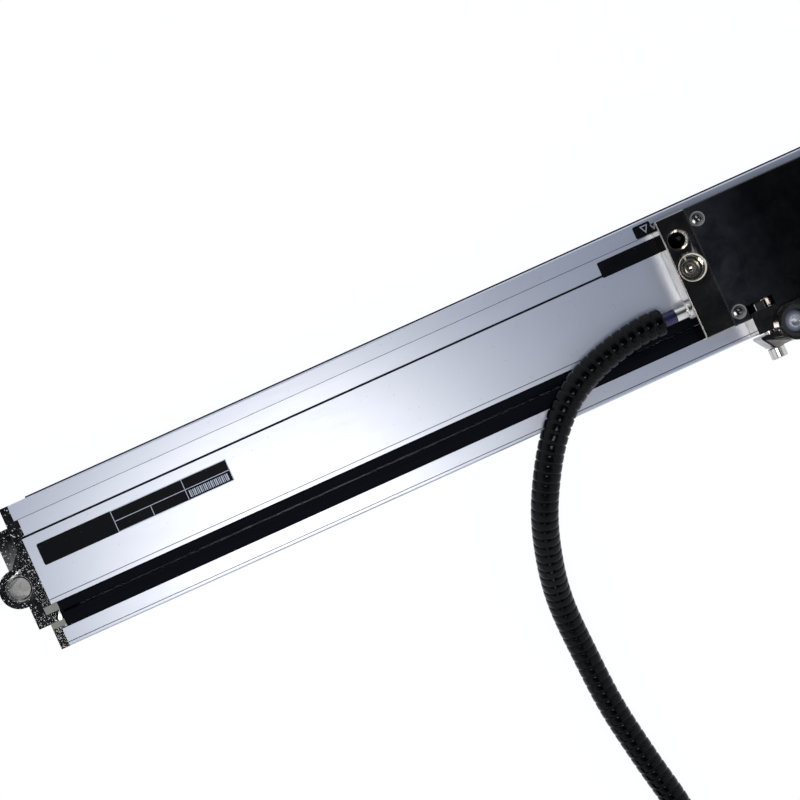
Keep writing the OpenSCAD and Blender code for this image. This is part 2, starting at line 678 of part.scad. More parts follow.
module vee_roller_a() guide_roller(0, groove_y, vee_h);
module vee_roller_b() guide_roller(1, groove_y, vee_h);
module plain_roller_a() guide_roller(0, plain_y, 0);
module plain_roller_b() guide_roller(1, plain_y, 0);

module port_nozzle() color("silver") bench()
    translate([large_port[0], large_port[1], nozzle_z0]) rotate_extrude($fn = 64)
        polygon([[nozzle_bore_r, 0], [nozzle_r, 0], [nozzle_r, nozzle_h - 0.4],
                 [nozzle_r - 0.4, nozzle_h], [2.2, nozzle_h], [1.8, nozzle_h + nozzle_tip_h],
                 [1.3, nozzle_h + nozzle_tip_h], [nozzle_bore_r, nozzle_h]]);

module signal_board() color("darkgreen") bench() {
    for (x = [board_x[0], board_x[1] - board_foot])
        block([x, board_y[0], floor_z], [x + board_foot, board_y[1], board_z]);
    block([board_x[0], board_y[0], board_z], [board_x[1], board_y[1], board_z + board_t]);
    for (c = chips)
        translate([board_x[0] + c[0], board_y[0] + c[1], board_z + board_t]) cube([c[2], c[3], chip_h]);
}

module drive_blade() color("lightsteelblue") bench() difference() {
    translate([0, blade_hi, 0]) rotate([90, 0, 0]) linear_extrude(blade_t)
        polygon([[car_xc - blade_len / 2, blade_z1 - 1], [car_xc - blade_len / 2, roof_z],
                 [car_xc - blade_foot, blade_z0], [car_xc + blade_foot, blade_z0],
                 [car_xc + blade_len / 2, roof_z], [car_xc + blade_len / 2, blade_z1 - 1]]);
    for (x = blade_screw_x) rod_y([x, blade_lo - cut, blade_screw_z], blade_screw_r, blade_t + 2 * cut);
}

module blade_screws() color("dimgray") bench() for (x = blade_screw_x) {
    rod_y([x, blade_lo, blade_screw_z], blade_screw_r, blade_rib_t);
    rod_y([x, blade_lo - 1.4, blade_screw_z], blade_screw_r + 0.9, 1.4);
}

// ---- scanning unit ----

// Leaf spring bent to a U between the blade and the scanning frame
module coupling_spring() color("goldenrod") bench() translate([car_xc, blade_hi, 0]) {
    w = leg_y0 - blade_hi;
    translate([0, 0, blade_z0 + 0.3]) linear_extrude(3) {
        difference() {
            translate([spring_leg / 2, w / 2]) circle(d = w);
            translate([spring_leg / 2, w / 2]) circle(d = w - 2 * spring_t);
            translate([spring_leg / 2 - w, -w]) square([w, 3 * w]);
        }
        translate([-spring_leg / 2, 0]) square([spring_leg, spring_t]);
        translate([-spring_leg / 2, w - spring_t]) square([spring_leg, spring_t]);
    }
}

module roller_seats() for (s = [-1, 1]) {
    // edge roller slot and axle hole in the bridge
    block([car_xc + s * roller_dx - glass_roller_r - 0.4, glass_y - glass_roller_w / 2 - edge_cheek_gap,
           bridge_z0 - cut],
          [car_xc + s * roller_dx + glass_roller_r + 0.4, glass_y + glass_roller_w / 2 + edge_cheek_gap,
           frame_top + cut]);
    rod_y([car_xc + s * roller_dx, glass_y - edge_axle_len / 2, edge_roller_z], glass_axle_r, edge_axle_len);
    // face roller slot and axle hole in the right leg
    block([car_xc + s * roller_dx - glass_roller_r - 0.4, glass_hi, face_roller_z0 - edge_cheek_gap],
          [car_xc + s * roller_dx + glass_roller_r + 0.4, face_roller_y + glass_roller_r + 0.4,
           face_roller_z0 + glass_roller_w + edge_cheek_gap]);
    rod_z([car_xc + s * roller_dx, face_roller_y, leg_z0 - eps], glass_axle_r,
          tab_z1 - leg_z0);
}

module scan_frame() color([0.55, 0.56, 0.58]) bench() difference() {
    union() {
        block([car_xc - frame_len / 2, leg_y0, leg_z0], [car_xc + frame_len / 2, leg_y1, frame_top]);
        block([car_xc - frame_len / 2, rleg_y0, leg_z0], [car_xc + frame_len / 2, rleg_y1, frame_top]);
        block([car_xc - frame_len / 2, leg_y0, bridge_z0], [car_xc + frame_len / 2, rleg_y1, frame_top]);
        // tabs that carry the face rollers' axles
        for (s = [-1, 1])
            block([car_xc + s * roller_dx - 3, face_roller_y - 1.8, leg_z0],
                  [car_xc + s * roller_dx + 3, rleg_y0 + eps, tab_z1]);
    }
    roller_seats();
    // seat of the lens and way of the light
    rod_y([car_xc, leg_y0 - cut, optic_z], lens_d / 2, leg_t + 2 * cut);
    // windows that lighten the bridge
    for (s = [-1, 1]) block([car_xc + s * 9 - 5, glass_lo, bridge_z0 - cut],
                            [car_xc + s * 9 + 5, glass_hi, frame_top + cut]);
}

module lamp_board() color("darkgreen") bench()
    block([car_xc - 7, leg_y0 - 4.7, optic_z - 6], [car_xc + 7, leg_y0 - 3.5, optic_z + 4.6]);

module lamp() color("white") bench() rod_y([car_xc, leg_y0 - 3.5, optic_z], lens_d / 2, 4);

module condenser_lens() color([0.8, 0.9, 0.95, 0.6]) bench()
    translate([car_xc, leg_y1, optic_z]) rotate([90, 0, 0]) difference() {
        cylinder(d = lens_d, h = leg_t - 0.6);
        difference() {
            translate([0, 0, leg_t - 2.4]) cylinder(d = lens_d + cut, h = 4);
            translate([0, 0, leg_t - 0.6 - lens_d * 0.85]) sphere(r = lens_d * 0.85, $fn = 64);
        }
    }

module scanning_reticle() color([0.7, 0.8, 0.8, 0.6]) bench()
    block([car_xc - 9, leg_y1, optic_z - 5], [car_xc + 9, leg_y1 + reticle_t, optic_z + 5]);

module detector_board() color("darkgreen") bench()
    block([car_xc - 12, cell_y + cell_t, leg_z0 + 0.6], [car_xc + 12, rleg_y0, bridge_z0 - 0.4]);

module photocells() color([0.15, 0.18, 0.3]) bench() for (x = [-7.5, -2.5, 2.5, 7.5])
    block([car_xc + x - 2, cell_y, optic_z - 3], [car_xc + x + 2, cell_y + cell_t, optic_z + 3]);

module glass_axles() color("lightgray") bench() for (s = [-1, 1]) {
    rod_y([car_xc + s * roller_dx, glass_y - edge_axle_len / 2, edge_roller_z], glass_axle_r, edge_axle_len);
    rod_z([car_xc + s * roller_dx, face_roller_y, leg_z0], glass_axle_r,
          tab_z1 - leg_z0 - eps);
}

module glass_roller(p, turn) color("gainsboro") bench() translate(p) rotate([turn, 0, 0])
    roller(glass_roller_r, glass_roller_w, glass_axle_r + axle_clear, 0);

module edge_roller_a() glass_roller([car_xc - roller_dx, glass_y, edge_roller_z], 90);
module edge_roller_b() glass_roller([car_xc + roller_dx, glass_y, edge_roller_z], 90);
module face_roller_a()
    glass_roller([car_xc - roller_dx, face_roller_y, face_roller_z0 + glass_roller_w / 2], 0);
module face_roller_b()
    glass_roller([car_xc + roller_dx, face_roller_y, face_roller_z0 + glass_roller_w / 2], 0);

// ---- driver bracket ----

module driver_bracket() color([0.4, 0.39, 0.38]) bench() difference() {
    union() {
        // arm that stands in the carriage's notch and tapers below the housing's edge, and the
        // flange along the carriage's lower side
        translate([br_x0, 0, car_z0]) linear_extrude(br_z1 - car_z0)
            polygon([[0, -1.6], [3.4, ear_y[0]], [eye_dx, ear_y[0]], [eye_dx + eye_r, 0],
                     [eye_dx + eye_r, carriage_y0 - bracket_flange_t],
                     [br_flange_x1 - br_x0, carriage_y0 - bracket_flange_t],
                     [br_flange_x1 - br_x0, carriage_y0], [bracket_w, carriage_y0],
                     [bracket_w, ear_y[1]], [0, ear_y[1]]]);
        rod_z([eye_x, eye_y, eye_z0], eye_r, eye_h);
    }
    rod_z([eye_x, eye_y, eye_z0 + eye_floor], eye_bore_r, eye_h);
    rod_z([eye_x, eye_y, eye_z0 - cut], 3, eye_h);
    // split that lets the clamp screw close the eye
    block([br_x0 - cut, eye_y - split_w / 2, car_z0 - cut],
          [eye_x, eye_y + split_w / 2, eye_z1 + cut]);
    rod_y([clamp_x, ear_y[0] - cut, clamp_z], clamp_d / 2, ear_y[1] - ear_y[0] + 2 * cut);
    bracket_holes();
}

module bracket_screws() color("dimgray") bench() for (x = br_screw_x) difference() {
    union() {
        rod_y([x, carriage_y0 - bracket_flange_t, br_screw_z], br_screw_r, bracket_flange_t + body_wall);
        rod_y([x, carriage_y0 - bracket_flange_t - br_head_h, br_screw_z], br_head_r, br_head_h);
    }
    rod_y([x, carriage_y0 - bracket_flange_t - br_head_h - cut, br_screw_z], 1.45, 1.4 + cut, $fn = 6);
}

module clamp_screw() color("lightgray") bench() difference() {
    union() {
        rod_y([clamp_x, ear_y[0] - head_h, clamp_z], clamp_head_d / 2, head_h);
        rod_y([clamp_x, ear_y[0], clamp_z], clamp_d / 2, ear_y[1] + nut_h + 0.4 - ear_y[0]);
    }
    rod_y([clamp_x, ear_y[0] - head_h - cut, clamp_z], 1.7, 2.4 + cut, $fn = 6);
}

module clamp_nut() color("lightgray") bench() difference() {
    translate([clamp_x, ear_y[1], clamp_z]) rotate([-90, 0, 0])
        cylinder(d = nut_d, h = nut_h, $fn = 6);
    rod_y([clamp_x, ear_y[1] - cut, clamp_z], clamp_d / 2, nut_h + 2 * cut);
}

module ball_cup() color([0.1, 0.1, 0.1]) bench() difference() {
    rod_z([eye_x, eye_y, eye_z0 + eye_floor], eye_bore_r, eye_h - eye_floor - 0.4);
    translate([eye_x, eye_y, ball_z]) sphere(r = ball_r + ball_clear, $fn = 64);
    rod_z([eye_x, eye_y, ball_z], ball_r * 0.97, eye_h);
}

module coupling_ball() color("gainsboro") bench() difference() {
    translate([eye_x, eye_y, ball_z]) sphere(r = ball_r, $fn = 64);
    rod_z([eye_x, eye_y, ball_z - ball_r + 2], ball_core_d / 2, 2 * ball_r);
}

// ---- cable, hose and connector ----

module cable_collar() color("silver") bench() translate([car_x0, outlet_y, out_z]) rotate([0, -90, 0])
    rotate_extrude() polygon([[ferrule_r, 0], [collar_r, 0], [collar_r, collar_len - 0.6],
                              [collar_r - 0.6, collar_len], [ferrule_r, collar_len]]);

module cable_ferrule() color("gainsboro") bench()
    rod_x([sleeve_x1, outlet_y, out_z], ferrule_r, collar_len + ferrule_len + flange_len);

module cable_sleeve() color([0.2, 0.2, 0.3]) bench()
    rod_x([hose_x0, outlet_y, out_z], ferrule_r, sleeve_len);

// Tube of radius r swept along a route of points with n sides
function unit(v) = v / norm(v);
function tangent(p, i) = unit(p[min(i + 1, len(p) - 1)] - p[max(i - 1, 0)]);
function ring(p, i, r, n) = let (t = tangent(p, i), s = unit(cross(t, [0, 0, 1])), u = cross(s, t))
    [for (k = [0:n - 1]) p[i] + r * (cos(360 * k / n) * s + sin(360 * k / n) * u)];

module tube(p, r, n) polyhedron(
    points = [for (i = [0:len(p) - 1]) each ring(p, i, r, n)],
    faces = [[for (k = [0:n - 1]) k],
             for (i = [0:len(p) - 2], k = [0:n - 1])
                 [i * n + k, (i + 1) * n + k, (i + 1) * n + (k + 1) % n, i * n + (k + 1) % n],
             [for (k = [n - 1:-1:0]) (len(p) - 1) * n + k]]);

module hose() color([0.03, 0.03, 0.03]) bench() tube(hose_route, hose_r, 10);
module hose_tail() color([0.03, 0.03, 0.03]) bench() tube(tail_route, hose_r, 10);

// Outline of the coil's turns side by side, grown outwards by t
module coil_section(t) {
    side = [for (q = coil_side) [q[0] + t, q[1] + (q[1] > 0 ? t : 0)]];
    polygon(concat(side, [for (i = [len(side) - 1:-1:0]) [-side[i][0], side[i][1]]]));
}

module hose_coil() color([0.03, 0.03, 0.03]) bench() translate([coil_c[0], coil_c[1], coil_z0])
    rotate_extrude($fn = 96) translate([coil_r, 0]) coil_section(0);

module coil_tie() color([0.9, 0.9, 0.88]) bench() translate([coil_c[0], coil_c[1], coil_z0])
    rotate([0, 0, tie_angle]) translate([coil_r, tie_w / 2, 0]) {
        rotate([90, 0, 0]) linear_extrude(tie_w) difference() {
            union() {
                coil_section(tie_t);
                translate([-coil_side[0][0] - tie_t, -coil_z0])
                    square([2 * (coil_side[0][0] + tie_t), coil_z0 + eps]);
            }
            coil_section(0);
        }
        // the tie's head
        translate([-tie_head / 2, -tie_w / 2 - tie_head / 2, coil_h + tie_t - eps])
            cube([tie_head, tie_head, tie_head / 2]);
    }

// Lays a piece drawn along +Z down at the end of the tail, pointing along plug_dir
module at_plug(dist) {
    e = tail_route[len(tail_route) - 1];
    translate([e[0] + plug_dir[0] * dist, e[1] + plug_dir[1] * dist, plug_r])
        rotate([0, 90, atan2(plug_dir[1], plug_dir[0])]) children();
}

gland_len = 18;
ring_gap = 0.3;                            // between the coupling ring and its shoulder
socket_r = 10.4;
socket_depth = 8;
insert_t = 4;
pin_circle_r = 6.2;
pin_len = 6;

module connector_gland() color("silver") bench() at_plug(0) rotate_extrude()
    polygon([[0, 0], [hose_r + 1.6, 0], [hose_r + 2.4, 1], [hose_r + 2.4, 8], [plug_r - 2, 11],
             [plug_r - 2, gland_len], [0, gland_len]]);

module connector_grip() color("silver") bench() at_plug(gland_len) rotate_extrude()
    polygon([[0, 0], [plug_r - 0.6, 0], [plug_r, 0.6], [plug_r, 9], [plug_r - 0.8, 10],
             [plug_r - 0.8, plug_len - ring_len - ring_gap], [socket_r, plug_len - ring_len - ring_gap],
             [socket_r, plug_len + 4], [socket_r - 1.2, plug_len + 4],
             [socket_r - 1.2, plug_len - socket_depth], [0, plug_len - socket_depth]]);

module connector_ring() color("gainsboro") bench() at_plug(gland_len + plug_len - ring_len) difference() {
    rotate_extrude($fn = 72) polygon([[socket_r + 0.1, 0], [ring_r - 0.6, 0], [ring_r, 0.6],
                                      [ring_r, ring_len - 0.6], [ring_r - 0.6, ring_len],
                                      [socket_r + 0.1, ring_len]]);
    for (a = [0:20:340]) rotate([0, 0, a]) translate([ring_r, 0, 3]) rotate([0, 0, 45])
        cube([0.8, 0.8, ring_len - 6]);
}

module connector_insert() color([0.08, 0.08, 0.08]) bench() at_plug(gland_len + plug_len - socket_depth)
    rod_z([0, 0, 0], socket_r - 1.2, insert_t);

module connector_pins() color("gold") bench() at_plug(gland_len + plug_len - socket_depth + insert_t)
    for (a = [0:30:330]) rotate([0, 0, a]) rod_z([pin_circle_r, 0, 0], 0.5, pin_len);

housing_profile();
running_strip();
edge_strip();
sealing_lip_upper();
sealing_lip_lower();
lip_clamps_left();
lip_clamps_right();
end_block_left();
end_block_right();
end_gasket_left();
end_gasket_right();
end_block_screws();
glass_scale();
graduation();
scale_bond();
carriage_flange_left();
carriage_body();
carriage_cover();
cover_screws();
guide_axles();
vee_roller_a();
vee_roller_b();
plain_roller_a();
plain_roller_b();
port_nozzle();
signal_board();
drive_blade();
blade_screws();
coupling_spring();
scan_frame();
lamp_board();
lamp();
condenser_lens();
scanning_reticle();
detector_board();
photocells();
glass_axles();
edge_roller_a();
edge_roller_b();
face_roller_a();
face_roller_b();
driver_bracket();
bracket_screws();
clamp_screw();
clamp_nut();
ball_cup();
coupling_ball();
cable_collar();
cable_ferrule();
cable_sleeve();
hose();
hose_coil();
hose_tail();
coil_tie();
connector_gland();
connector_grip();
connector_ring();
connector_insert();
connector_pins();
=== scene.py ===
"""Looks of the guided linear glass scale.

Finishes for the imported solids, eased edges on the castings and machined pieces, the ribbed hose,
the bare plates, the floor, the lamps, the world and the camera.
"""

import json
import logging
import math
from dataclasses import dataclass, field
from enum import Enum
from typing import Iterable, Sequence

import bmesh
import bpy
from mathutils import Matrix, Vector


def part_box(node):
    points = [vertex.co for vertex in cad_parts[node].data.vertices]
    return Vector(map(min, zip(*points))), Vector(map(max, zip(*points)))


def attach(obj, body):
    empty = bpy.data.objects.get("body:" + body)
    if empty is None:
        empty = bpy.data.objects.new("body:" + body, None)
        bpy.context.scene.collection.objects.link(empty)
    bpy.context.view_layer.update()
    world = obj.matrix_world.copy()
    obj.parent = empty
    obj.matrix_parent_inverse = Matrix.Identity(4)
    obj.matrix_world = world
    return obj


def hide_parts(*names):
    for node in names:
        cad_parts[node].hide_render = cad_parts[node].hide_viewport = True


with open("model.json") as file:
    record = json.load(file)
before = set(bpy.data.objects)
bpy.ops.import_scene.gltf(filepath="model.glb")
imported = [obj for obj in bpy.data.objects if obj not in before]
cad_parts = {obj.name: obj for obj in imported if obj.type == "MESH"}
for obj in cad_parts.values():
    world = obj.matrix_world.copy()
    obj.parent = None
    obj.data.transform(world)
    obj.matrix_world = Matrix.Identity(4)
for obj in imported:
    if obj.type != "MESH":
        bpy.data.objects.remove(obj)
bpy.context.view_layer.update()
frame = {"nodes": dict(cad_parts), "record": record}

log = logging.getLogger("glass_scale")

MM = 0.001

Colour = tuple[float, float, float]
Point = tuple[float, float, float]
Span = tuple[float, float]
Edges = tuple[float, float, float, float]
Socket = bpy.types.NodeSocket


# ---------------------------------------------------------------- places in the housing's frame


@dataclass(frozen=True)
class Bench:
    """The housing's corner frame: x from the profile's left end, y from its lower edge, in mm."""

    left: float
    lower: float
    front: float

    @classmethod
    def from_profile(cls) -> "Bench":
        """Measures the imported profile."""
        low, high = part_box("housing_profile")
        return cls(low.x / MM, low.y / MM, high.z / MM)

    def point(self, x: float, y: float, z: float) -> Vector:
        """A place in metres in the shared frame.

        Args:
            x: Distance from the profile's left end, in mm.
            y: Distance from the profile's lower edge, in mm.
            z: Height above the back face, in mm.

        Returns:
            The same place in metres.
        """
        return Vector(((self.left + x) * MM, (self.lower + y) * MM, z * MM))


BENCH = Bench.from_profile()


# ---------------------------------------------------------------- node graphs


class Graph:
    """Adds and links nodes in one node tree."""

    def __init__(self, tree: bpy.types.NodeTree) -> None:
        """Keeps the tree that the nodes go into."""
        self.tree = tree

    def node(
        self, kind: str, values: dict[str, object] | None = None, **settings: object
    ) -> bpy.types.Node:
        """Adds a node.

        Args:
            kind: The node's type.
            values: Socket name or number to a constant, or to an output socket to link from.
            **settings: Attributes of the node itself.

        Returns:
            The new node.
        """
        made = self.tree.nodes.new(kind)
        for name, value in settings.items():
            setattr(made, name, value)
        for name, value in (values or {}).items():
            socket = made.inputs[int(name)] if name.isdigit() else made.inputs[name]
            if isinstance(value, Socket):
                self.tree.links.new(value, socket)
            else:
                socket.default_value = value
        return made

    def math(self, operation: str, a: object, b: object = 0.0) -> Socket:
        """One arithmetic step, returning its output."""
        return self.node("ShaderNodeMath", {"0": a, "1": b}, operation=operation).outputs[0]

    def remap(
        self, value: object, low: object, high: object, start: object = 0.0, end: object = 1.0
    ) -> Socket:
        """Maps a value from start..end to low..high and clamps it.

        Args:
            value: The socket to read.
            low: Result at start.
            high: Result at end.
            start: Lowest input.
            end: Highest input.

        Returns:
            The mapped output.
        """
        made = self.node(
            "ShaderNodeMapRange",
            {"Value": value, "From Min": start, "From Max": end, "To Min": low, "To Max": high},
            clamp=True,
        )
        return made.outputs["Result"]

    def blend(self, mask: object, a: object, b: object) -> Socket:
        """Mixes two colours by a mask, returning the colour."""
        made = self.node("ShaderNodeMix", data_type="RGBA")
        for socket, value in zip((made.inputs[0], made.inputs[6], made.inputs[7]), (mask, a, b)):
            if isinstance(value, Socket):
                self.tree.links.new(value, socket)
            elif isinstance(value, tuple):
                socket.default_value = (*value, 1.0)
            else:
                socket.default_value = value
        return made.outputs[2]


def new_group(
    name: str, inputs: dict[str, float], output: str
) -> tuple[Graph, dict[str, Socket], Socket]:
    """Starts a shader node group of number sockets with one output.

    Args:
        name: The group's name.
        inputs: Input name to its default.
        output: The output's name.

    Returns:
        The group's graph, its inputs by name, and the socket that takes its result.
    """
    tree = bpy.data.node_groups.new(name, "ShaderNodeTree")
    for key, value in inputs.items():
        made = tree.interface.new_socket(key, in_out="INPUT", socket_type="NodeSocketFloat")
        made.default_value = value
    tree.interface.new_socket(output, in_out="OUTPUT", socket_type="NodeSocketFloat")
    graph = Graph(tree)
    entry = graph.node("NodeGroupInput")
    leave = graph.node("NodeGroupOutput")
    return graph, {key: entry.outputs[key] for key in inputs}, leave.inputs[output]


def place_mm(graph: Graph) -> Socket:
    """The surface point in millimetres, in the piece's own frame."""
    coords = graph.node("ShaderNodeTexCoord").outputs["Object"]
    scale = graph.node("ShaderNodeVectorMath", {"0": coords}, operation="SCALE")
    scale.inputs["Scale"].default_value = 1 / MM
    return scale.outputs[0]


def axes_mm(graph: Graph) -> Sequence[Socket]:
    """The surface point's x, y and z in millimetres, in the piece's own frame."""
    return graph.node("ShaderNodeSeparateXYZ", {"0": place_mm(graph)}).outputs


def build_grain() -> bpy.types.NodeTree:
    """Fine grain that can be drawn out along any axis."""
    g, ins, out = new_group(
        "fine_grain", {"Size": 1.0, "Draw X": 1.0, "Draw Y": 1.0, "Draw Z": 1.0}, "Value"
    )
    size = g.node(
        "ShaderNodeCombineXYZ", {"0": ins["Draw X"], "1": ins["Draw Y"], "2": ins["Draw Z"]}
    )
    drawn = g.node(
        "ShaderNodeVectorMath", {"0": place_mm(g), "1": size.outputs[0]}, operation="DIVIDE"
    )
    noise = g.node(
        "ShaderNodeTexNoise",
        {
            "Vector": drawn.outputs[0],
            "Scale": g.math("DIVIDE", 1.0, ins["Size"]),
            "Detail": 4.0,
            "Roughness": 0.6,
        },
    )
    g.tree.links.new(noise.outputs[0], out)
    return g.tree


def build_mottle() -> bpy.types.NodeTree:
    """Broad patches whose borders get softer as the contrast falls."""
    softest, hardest = 0.35, 0.02
    g, ins, out = new_group("mottle", {"Size": 20.0, "Contrast": 0.5}, "Mask")
    scale = g.math("DIVIDE", 1.0, ins["Size"])
    noise = g.node(
        "ShaderNodeTexNoise",
        {"Vector": place_mm(g), "Scale": scale, "Detail": 5.0, "Roughness": 0.55, "Distortion": 0.6},
    )
    soft = g.math("MULTIPLY", g.math("SUBTRACT", 1.0, ins["Contrast"]), softest)
    half = g.math("ADD", soft, hardest)
    low, high = g.math("SUBTRACT", 0.5, half), g.math("ADD", 0.5, half)
    g.tree.links.new(g.remap(noise.outputs[0], 0.0, 1.0, low, high), out)
    return g.tree


def build_specks() -> bpy.types.NodeTree:
    """Scattered small specks, such as dust, pits, bright grains and painted glints."""
    core, rim = 0.12, 0.34
    g, ins, out = new_group("specks", {"Size": 1.0, "Amount": 0.2}, "Mask")
    scale = g.math("DIVIDE", 1.0, ins["Size"])
    cells = g.node(
        "ShaderNodeTexVoronoi", {"Vector": place_mm(g), "Scale": scale, "Randomness": 1.0}
    )
    pick = g.node("ShaderNodeTexWhiteNoise", {"Vector": cells.outputs["Position"]})
    chosen = g.math("LESS_THAN", pick.outputs["Value"], ins["Amount"])
    spot = g.remap(cells.outputs["Distance"], 1.0, 0.0, core, rim)
    g.tree.links.new(g.math("MULTIPLY", chosen, spot), out)
    return g.tree


def build_scratches() -> bpy.types.NodeTree:
    """Thin hairline scratches in two directions."""
    turns = (0.35, -1.1)
    squeeze = (1.0, 26.0, 1.0)
    faint, full = 0.7, 0.74
    g, ins, out = new_group("scratches", {"Size": 12.0, "Amount": 0.4}, "Mask")
    place = place_mm(g)
    scale = g.math("DIVIDE", 1.0, ins["Size"])
    lines = []
    for turn in turns:
        turned = g.node(
            "ShaderNodeVectorRotate", {"Vector": place, "Angle": turn}, rotation_type="Z_AXIS"
        )
        thin = g.node(
            "ShaderNodeVectorMath", {"0": turned.outputs[0], "1": squeeze}, operation="MULTIPLY"
        )
        noise = g.node(
            "ShaderNodeTexNoise", {"Vector": thin.outputs[0], "Scale": scale, "Detail": 1.0}
        )
        lines.append(g.remap(noise.outputs[0], 0.0, 1.0, faint, full))
    both = g.math("MAXIMUM", *lines)
    g.tree.links.new(g.math("MULTIPLY", both, ins["Amount"]), out)
    return g.tree


def build_rulings() -> bpy.types.NodeTree:
    """Even lines across X, such as a graduation."""
    g, ins, out = new_group("rulings", {"Pitch": 0.5, "Share": 0.5}, "Mask")
    phase = g.math("FRACT", g.math("DIVIDE", axes_mm(g)[0], ins["Pitch"]))
    g.tree.links.new(g.math("LESS_THAN", phase, ins["Share"]), out)
    return g.tree


GROUPS: dict[str, bpy.types.NodeTree] = {
    "grain": build_grain(),
    "mottle": build_mottle(),
    "specks": build_specks(),
    "scratches": build_scratches(),
    "rulings": build_rulings(),
}


def use_group(graph: Graph, name: str, values: dict[str, object]) -> Socket:
    """Places a shared group in a material.

    Args:
        graph: The material's graph.
        name: The group's key.
        values: Its input values.

    Returns:
        The group's only output.
    """
    made = graph.node("ShaderNodeGroup")
    made.node_tree = GROUPS[name]
    for key, value in values.items():
        if isinstance(value, Socket):
            graph.tree.links.new(value, made.inputs[key])
        else:
            made.inputs[key].default_value = value
    return made.outputs[0]


def new_material(name: str) -> tuple[bpy.types.Material, Graph]:
    """Starts an empty material, returning it with its graph."""
    material = bpy.data.materials.new(name)
    material.use_nodes = True
    material.node_tree.nodes.clear()
    return material, Graph(material.node_tree)


# ---------------------------------------------------------------- finishes


class Draw(Enum):
    """Direction in which a surface's grain is drawn out."""

    EVEN = (1.0, 1.0, 1.0)
    ALONG_X = (40.0, 1.0, 1.0)
    ALONG_Y = (1.0, 30.0, 1.0)
    TURNED = (1.0, 1.0, 12.0)


GRAIN_SHARE, PATCH_SHARE = 0.7, 0.3  # how much the grain and the patches count for the wear
WEAR_SPAN = (0.25, 0.8)  # the wear at which a surface is smoothest and roughest


@dataclass(frozen=True)
class Finish:
    """An opaque finish: two tones that mottle, a grain, specks and hairline scratches."""

    slot: str
    tone: Colour
    shade: Colour
    metallic: float = 0.0
    rough: Span = (0.4, 0.55)
    draw: Draw = Draw.EVEN
    grain_mm: float = 0.5
    bump_mm: float = 0.02
    mottle_mm: float = 18.0
    contrast: float = 0.2
    specks: float = 0.0
    speck_mm: float = 1.0
    pit_mm: float = 0.0
    speck_tone: Colour = (0.5, 0.5, 0.5)
    scratches: float = 0.0
    specular: float = 0.5

    def build(self) -> bpy.types.Material:
        """Makes the material."""
        material, g = new_material(self.slot)
        patches = use_group(g, "mottle", {"Size": self.mottle_mm, "Contrast": self.contrast})
        stretch = dict(zip(("Draw X", "Draw Y", "Draw Z"), self.draw.value))
        grain = use_group(g, "grain", {"Size": self.grain_mm, **stretch})
        colour = g.blend(patches, self.shade, self.tone)
        relief = g.math("MULTIPLY", grain, self.bump_mm)
        if self.specks:
            dots = use_group(g, "specks", {"Size": self.speck_mm, "Amount": self.specks})
            colour = g.blend(dots, colour, self.speck_tone)
            relief = g.math("ADD", relief, g.math("MULTIPLY", dots, self.pit_mm))
        colour = self.pattern(g, colour)
        wear = g.math(
            "ADD", g.math("MULTIPLY", grain, GRAIN_SHARE), g.math("MULTIPLY", patches, PATCH_SHARE)
        )
        if self.scratches:
            lines = use_group(g, "scratches", {"Amount": self.scratches})
            wear = g.math("ADD", wear, lines)
        rough = g.remap(wear, *self.rough, *WEAR_SPAN)
        bump = g.node("ShaderNodeBump", {"Strength": 1.0, "Distance": MM, "Height": relief})
        shader = g.node(
            "ShaderNodeBsdfPrincipled",
            {
                "Base Color": colour,
                "Roughness": rough,
                "Metallic": self.metallic,
                "Specular IOR Level": self.specular,
                "Normal": bump.outputs[0],
            },
        )
        g.node("ShaderNodeOutputMaterial", {"Surface": shader.outputs[0]})
        return material

    def pattern(self, g: Graph, colour: Socket) -> Socket:
        """Adds a pattern to the colour; a plain finish has none."""
        return colour


@dataclass(frozen=True)
class Ruled(Finish):
    """A finish with even dark lines, such as the graduation."""

    pitch_mm: float = 0.5
    line_share: float = 0.5
    line_tone: Colour = (0.02, 0.02, 0.02)

    def pattern(self, g: Graph, colour: Socket) -> Socket:
        """Lays the lines over the colour."""
        lines = use_group(g, "rulings", {"Pitch": self.pitch_mm, "Share": self.line_share})
        return g.blend(lines, colour, self.line_tone)


@dataclass(frozen=True)
class Grooved(Finish):
    """A finish whose narrow grooves along X are darkened with painted shade; a groove is its middle
    and half width.
    """

    grooves: tuple[Span, ...] = ()
    groove_shade_tone: Colour = (0.02, 0.022, 0.03)
    sink_mm: float = 0.04

    def pattern(self, g: Graph, colour: Socket) -> Socket:
        """Darkens the bands that lie below the front face with painted shade."""
        _, y, z = axes_mm(g)
        across = g.math("SUBTRACT", y, BENCH.lower)
        sunk = g.math("LESS_THAN", z, BENCH.front - self.sink_mm)
        mask: Socket | float = 0.0
        for middle, half in self.grooves:
            off = g.math("ABSOLUTE", g.math("SUBTRACT", across, middle))
            mask = g.math("MAXIMUM", mask, g.math("LESS_THAN", off, half))
        # the groove bottoms take painted shade
        return g.blend(g.math("MULTIPLY", mask, sunk), colour, self.groove_shade_tone)


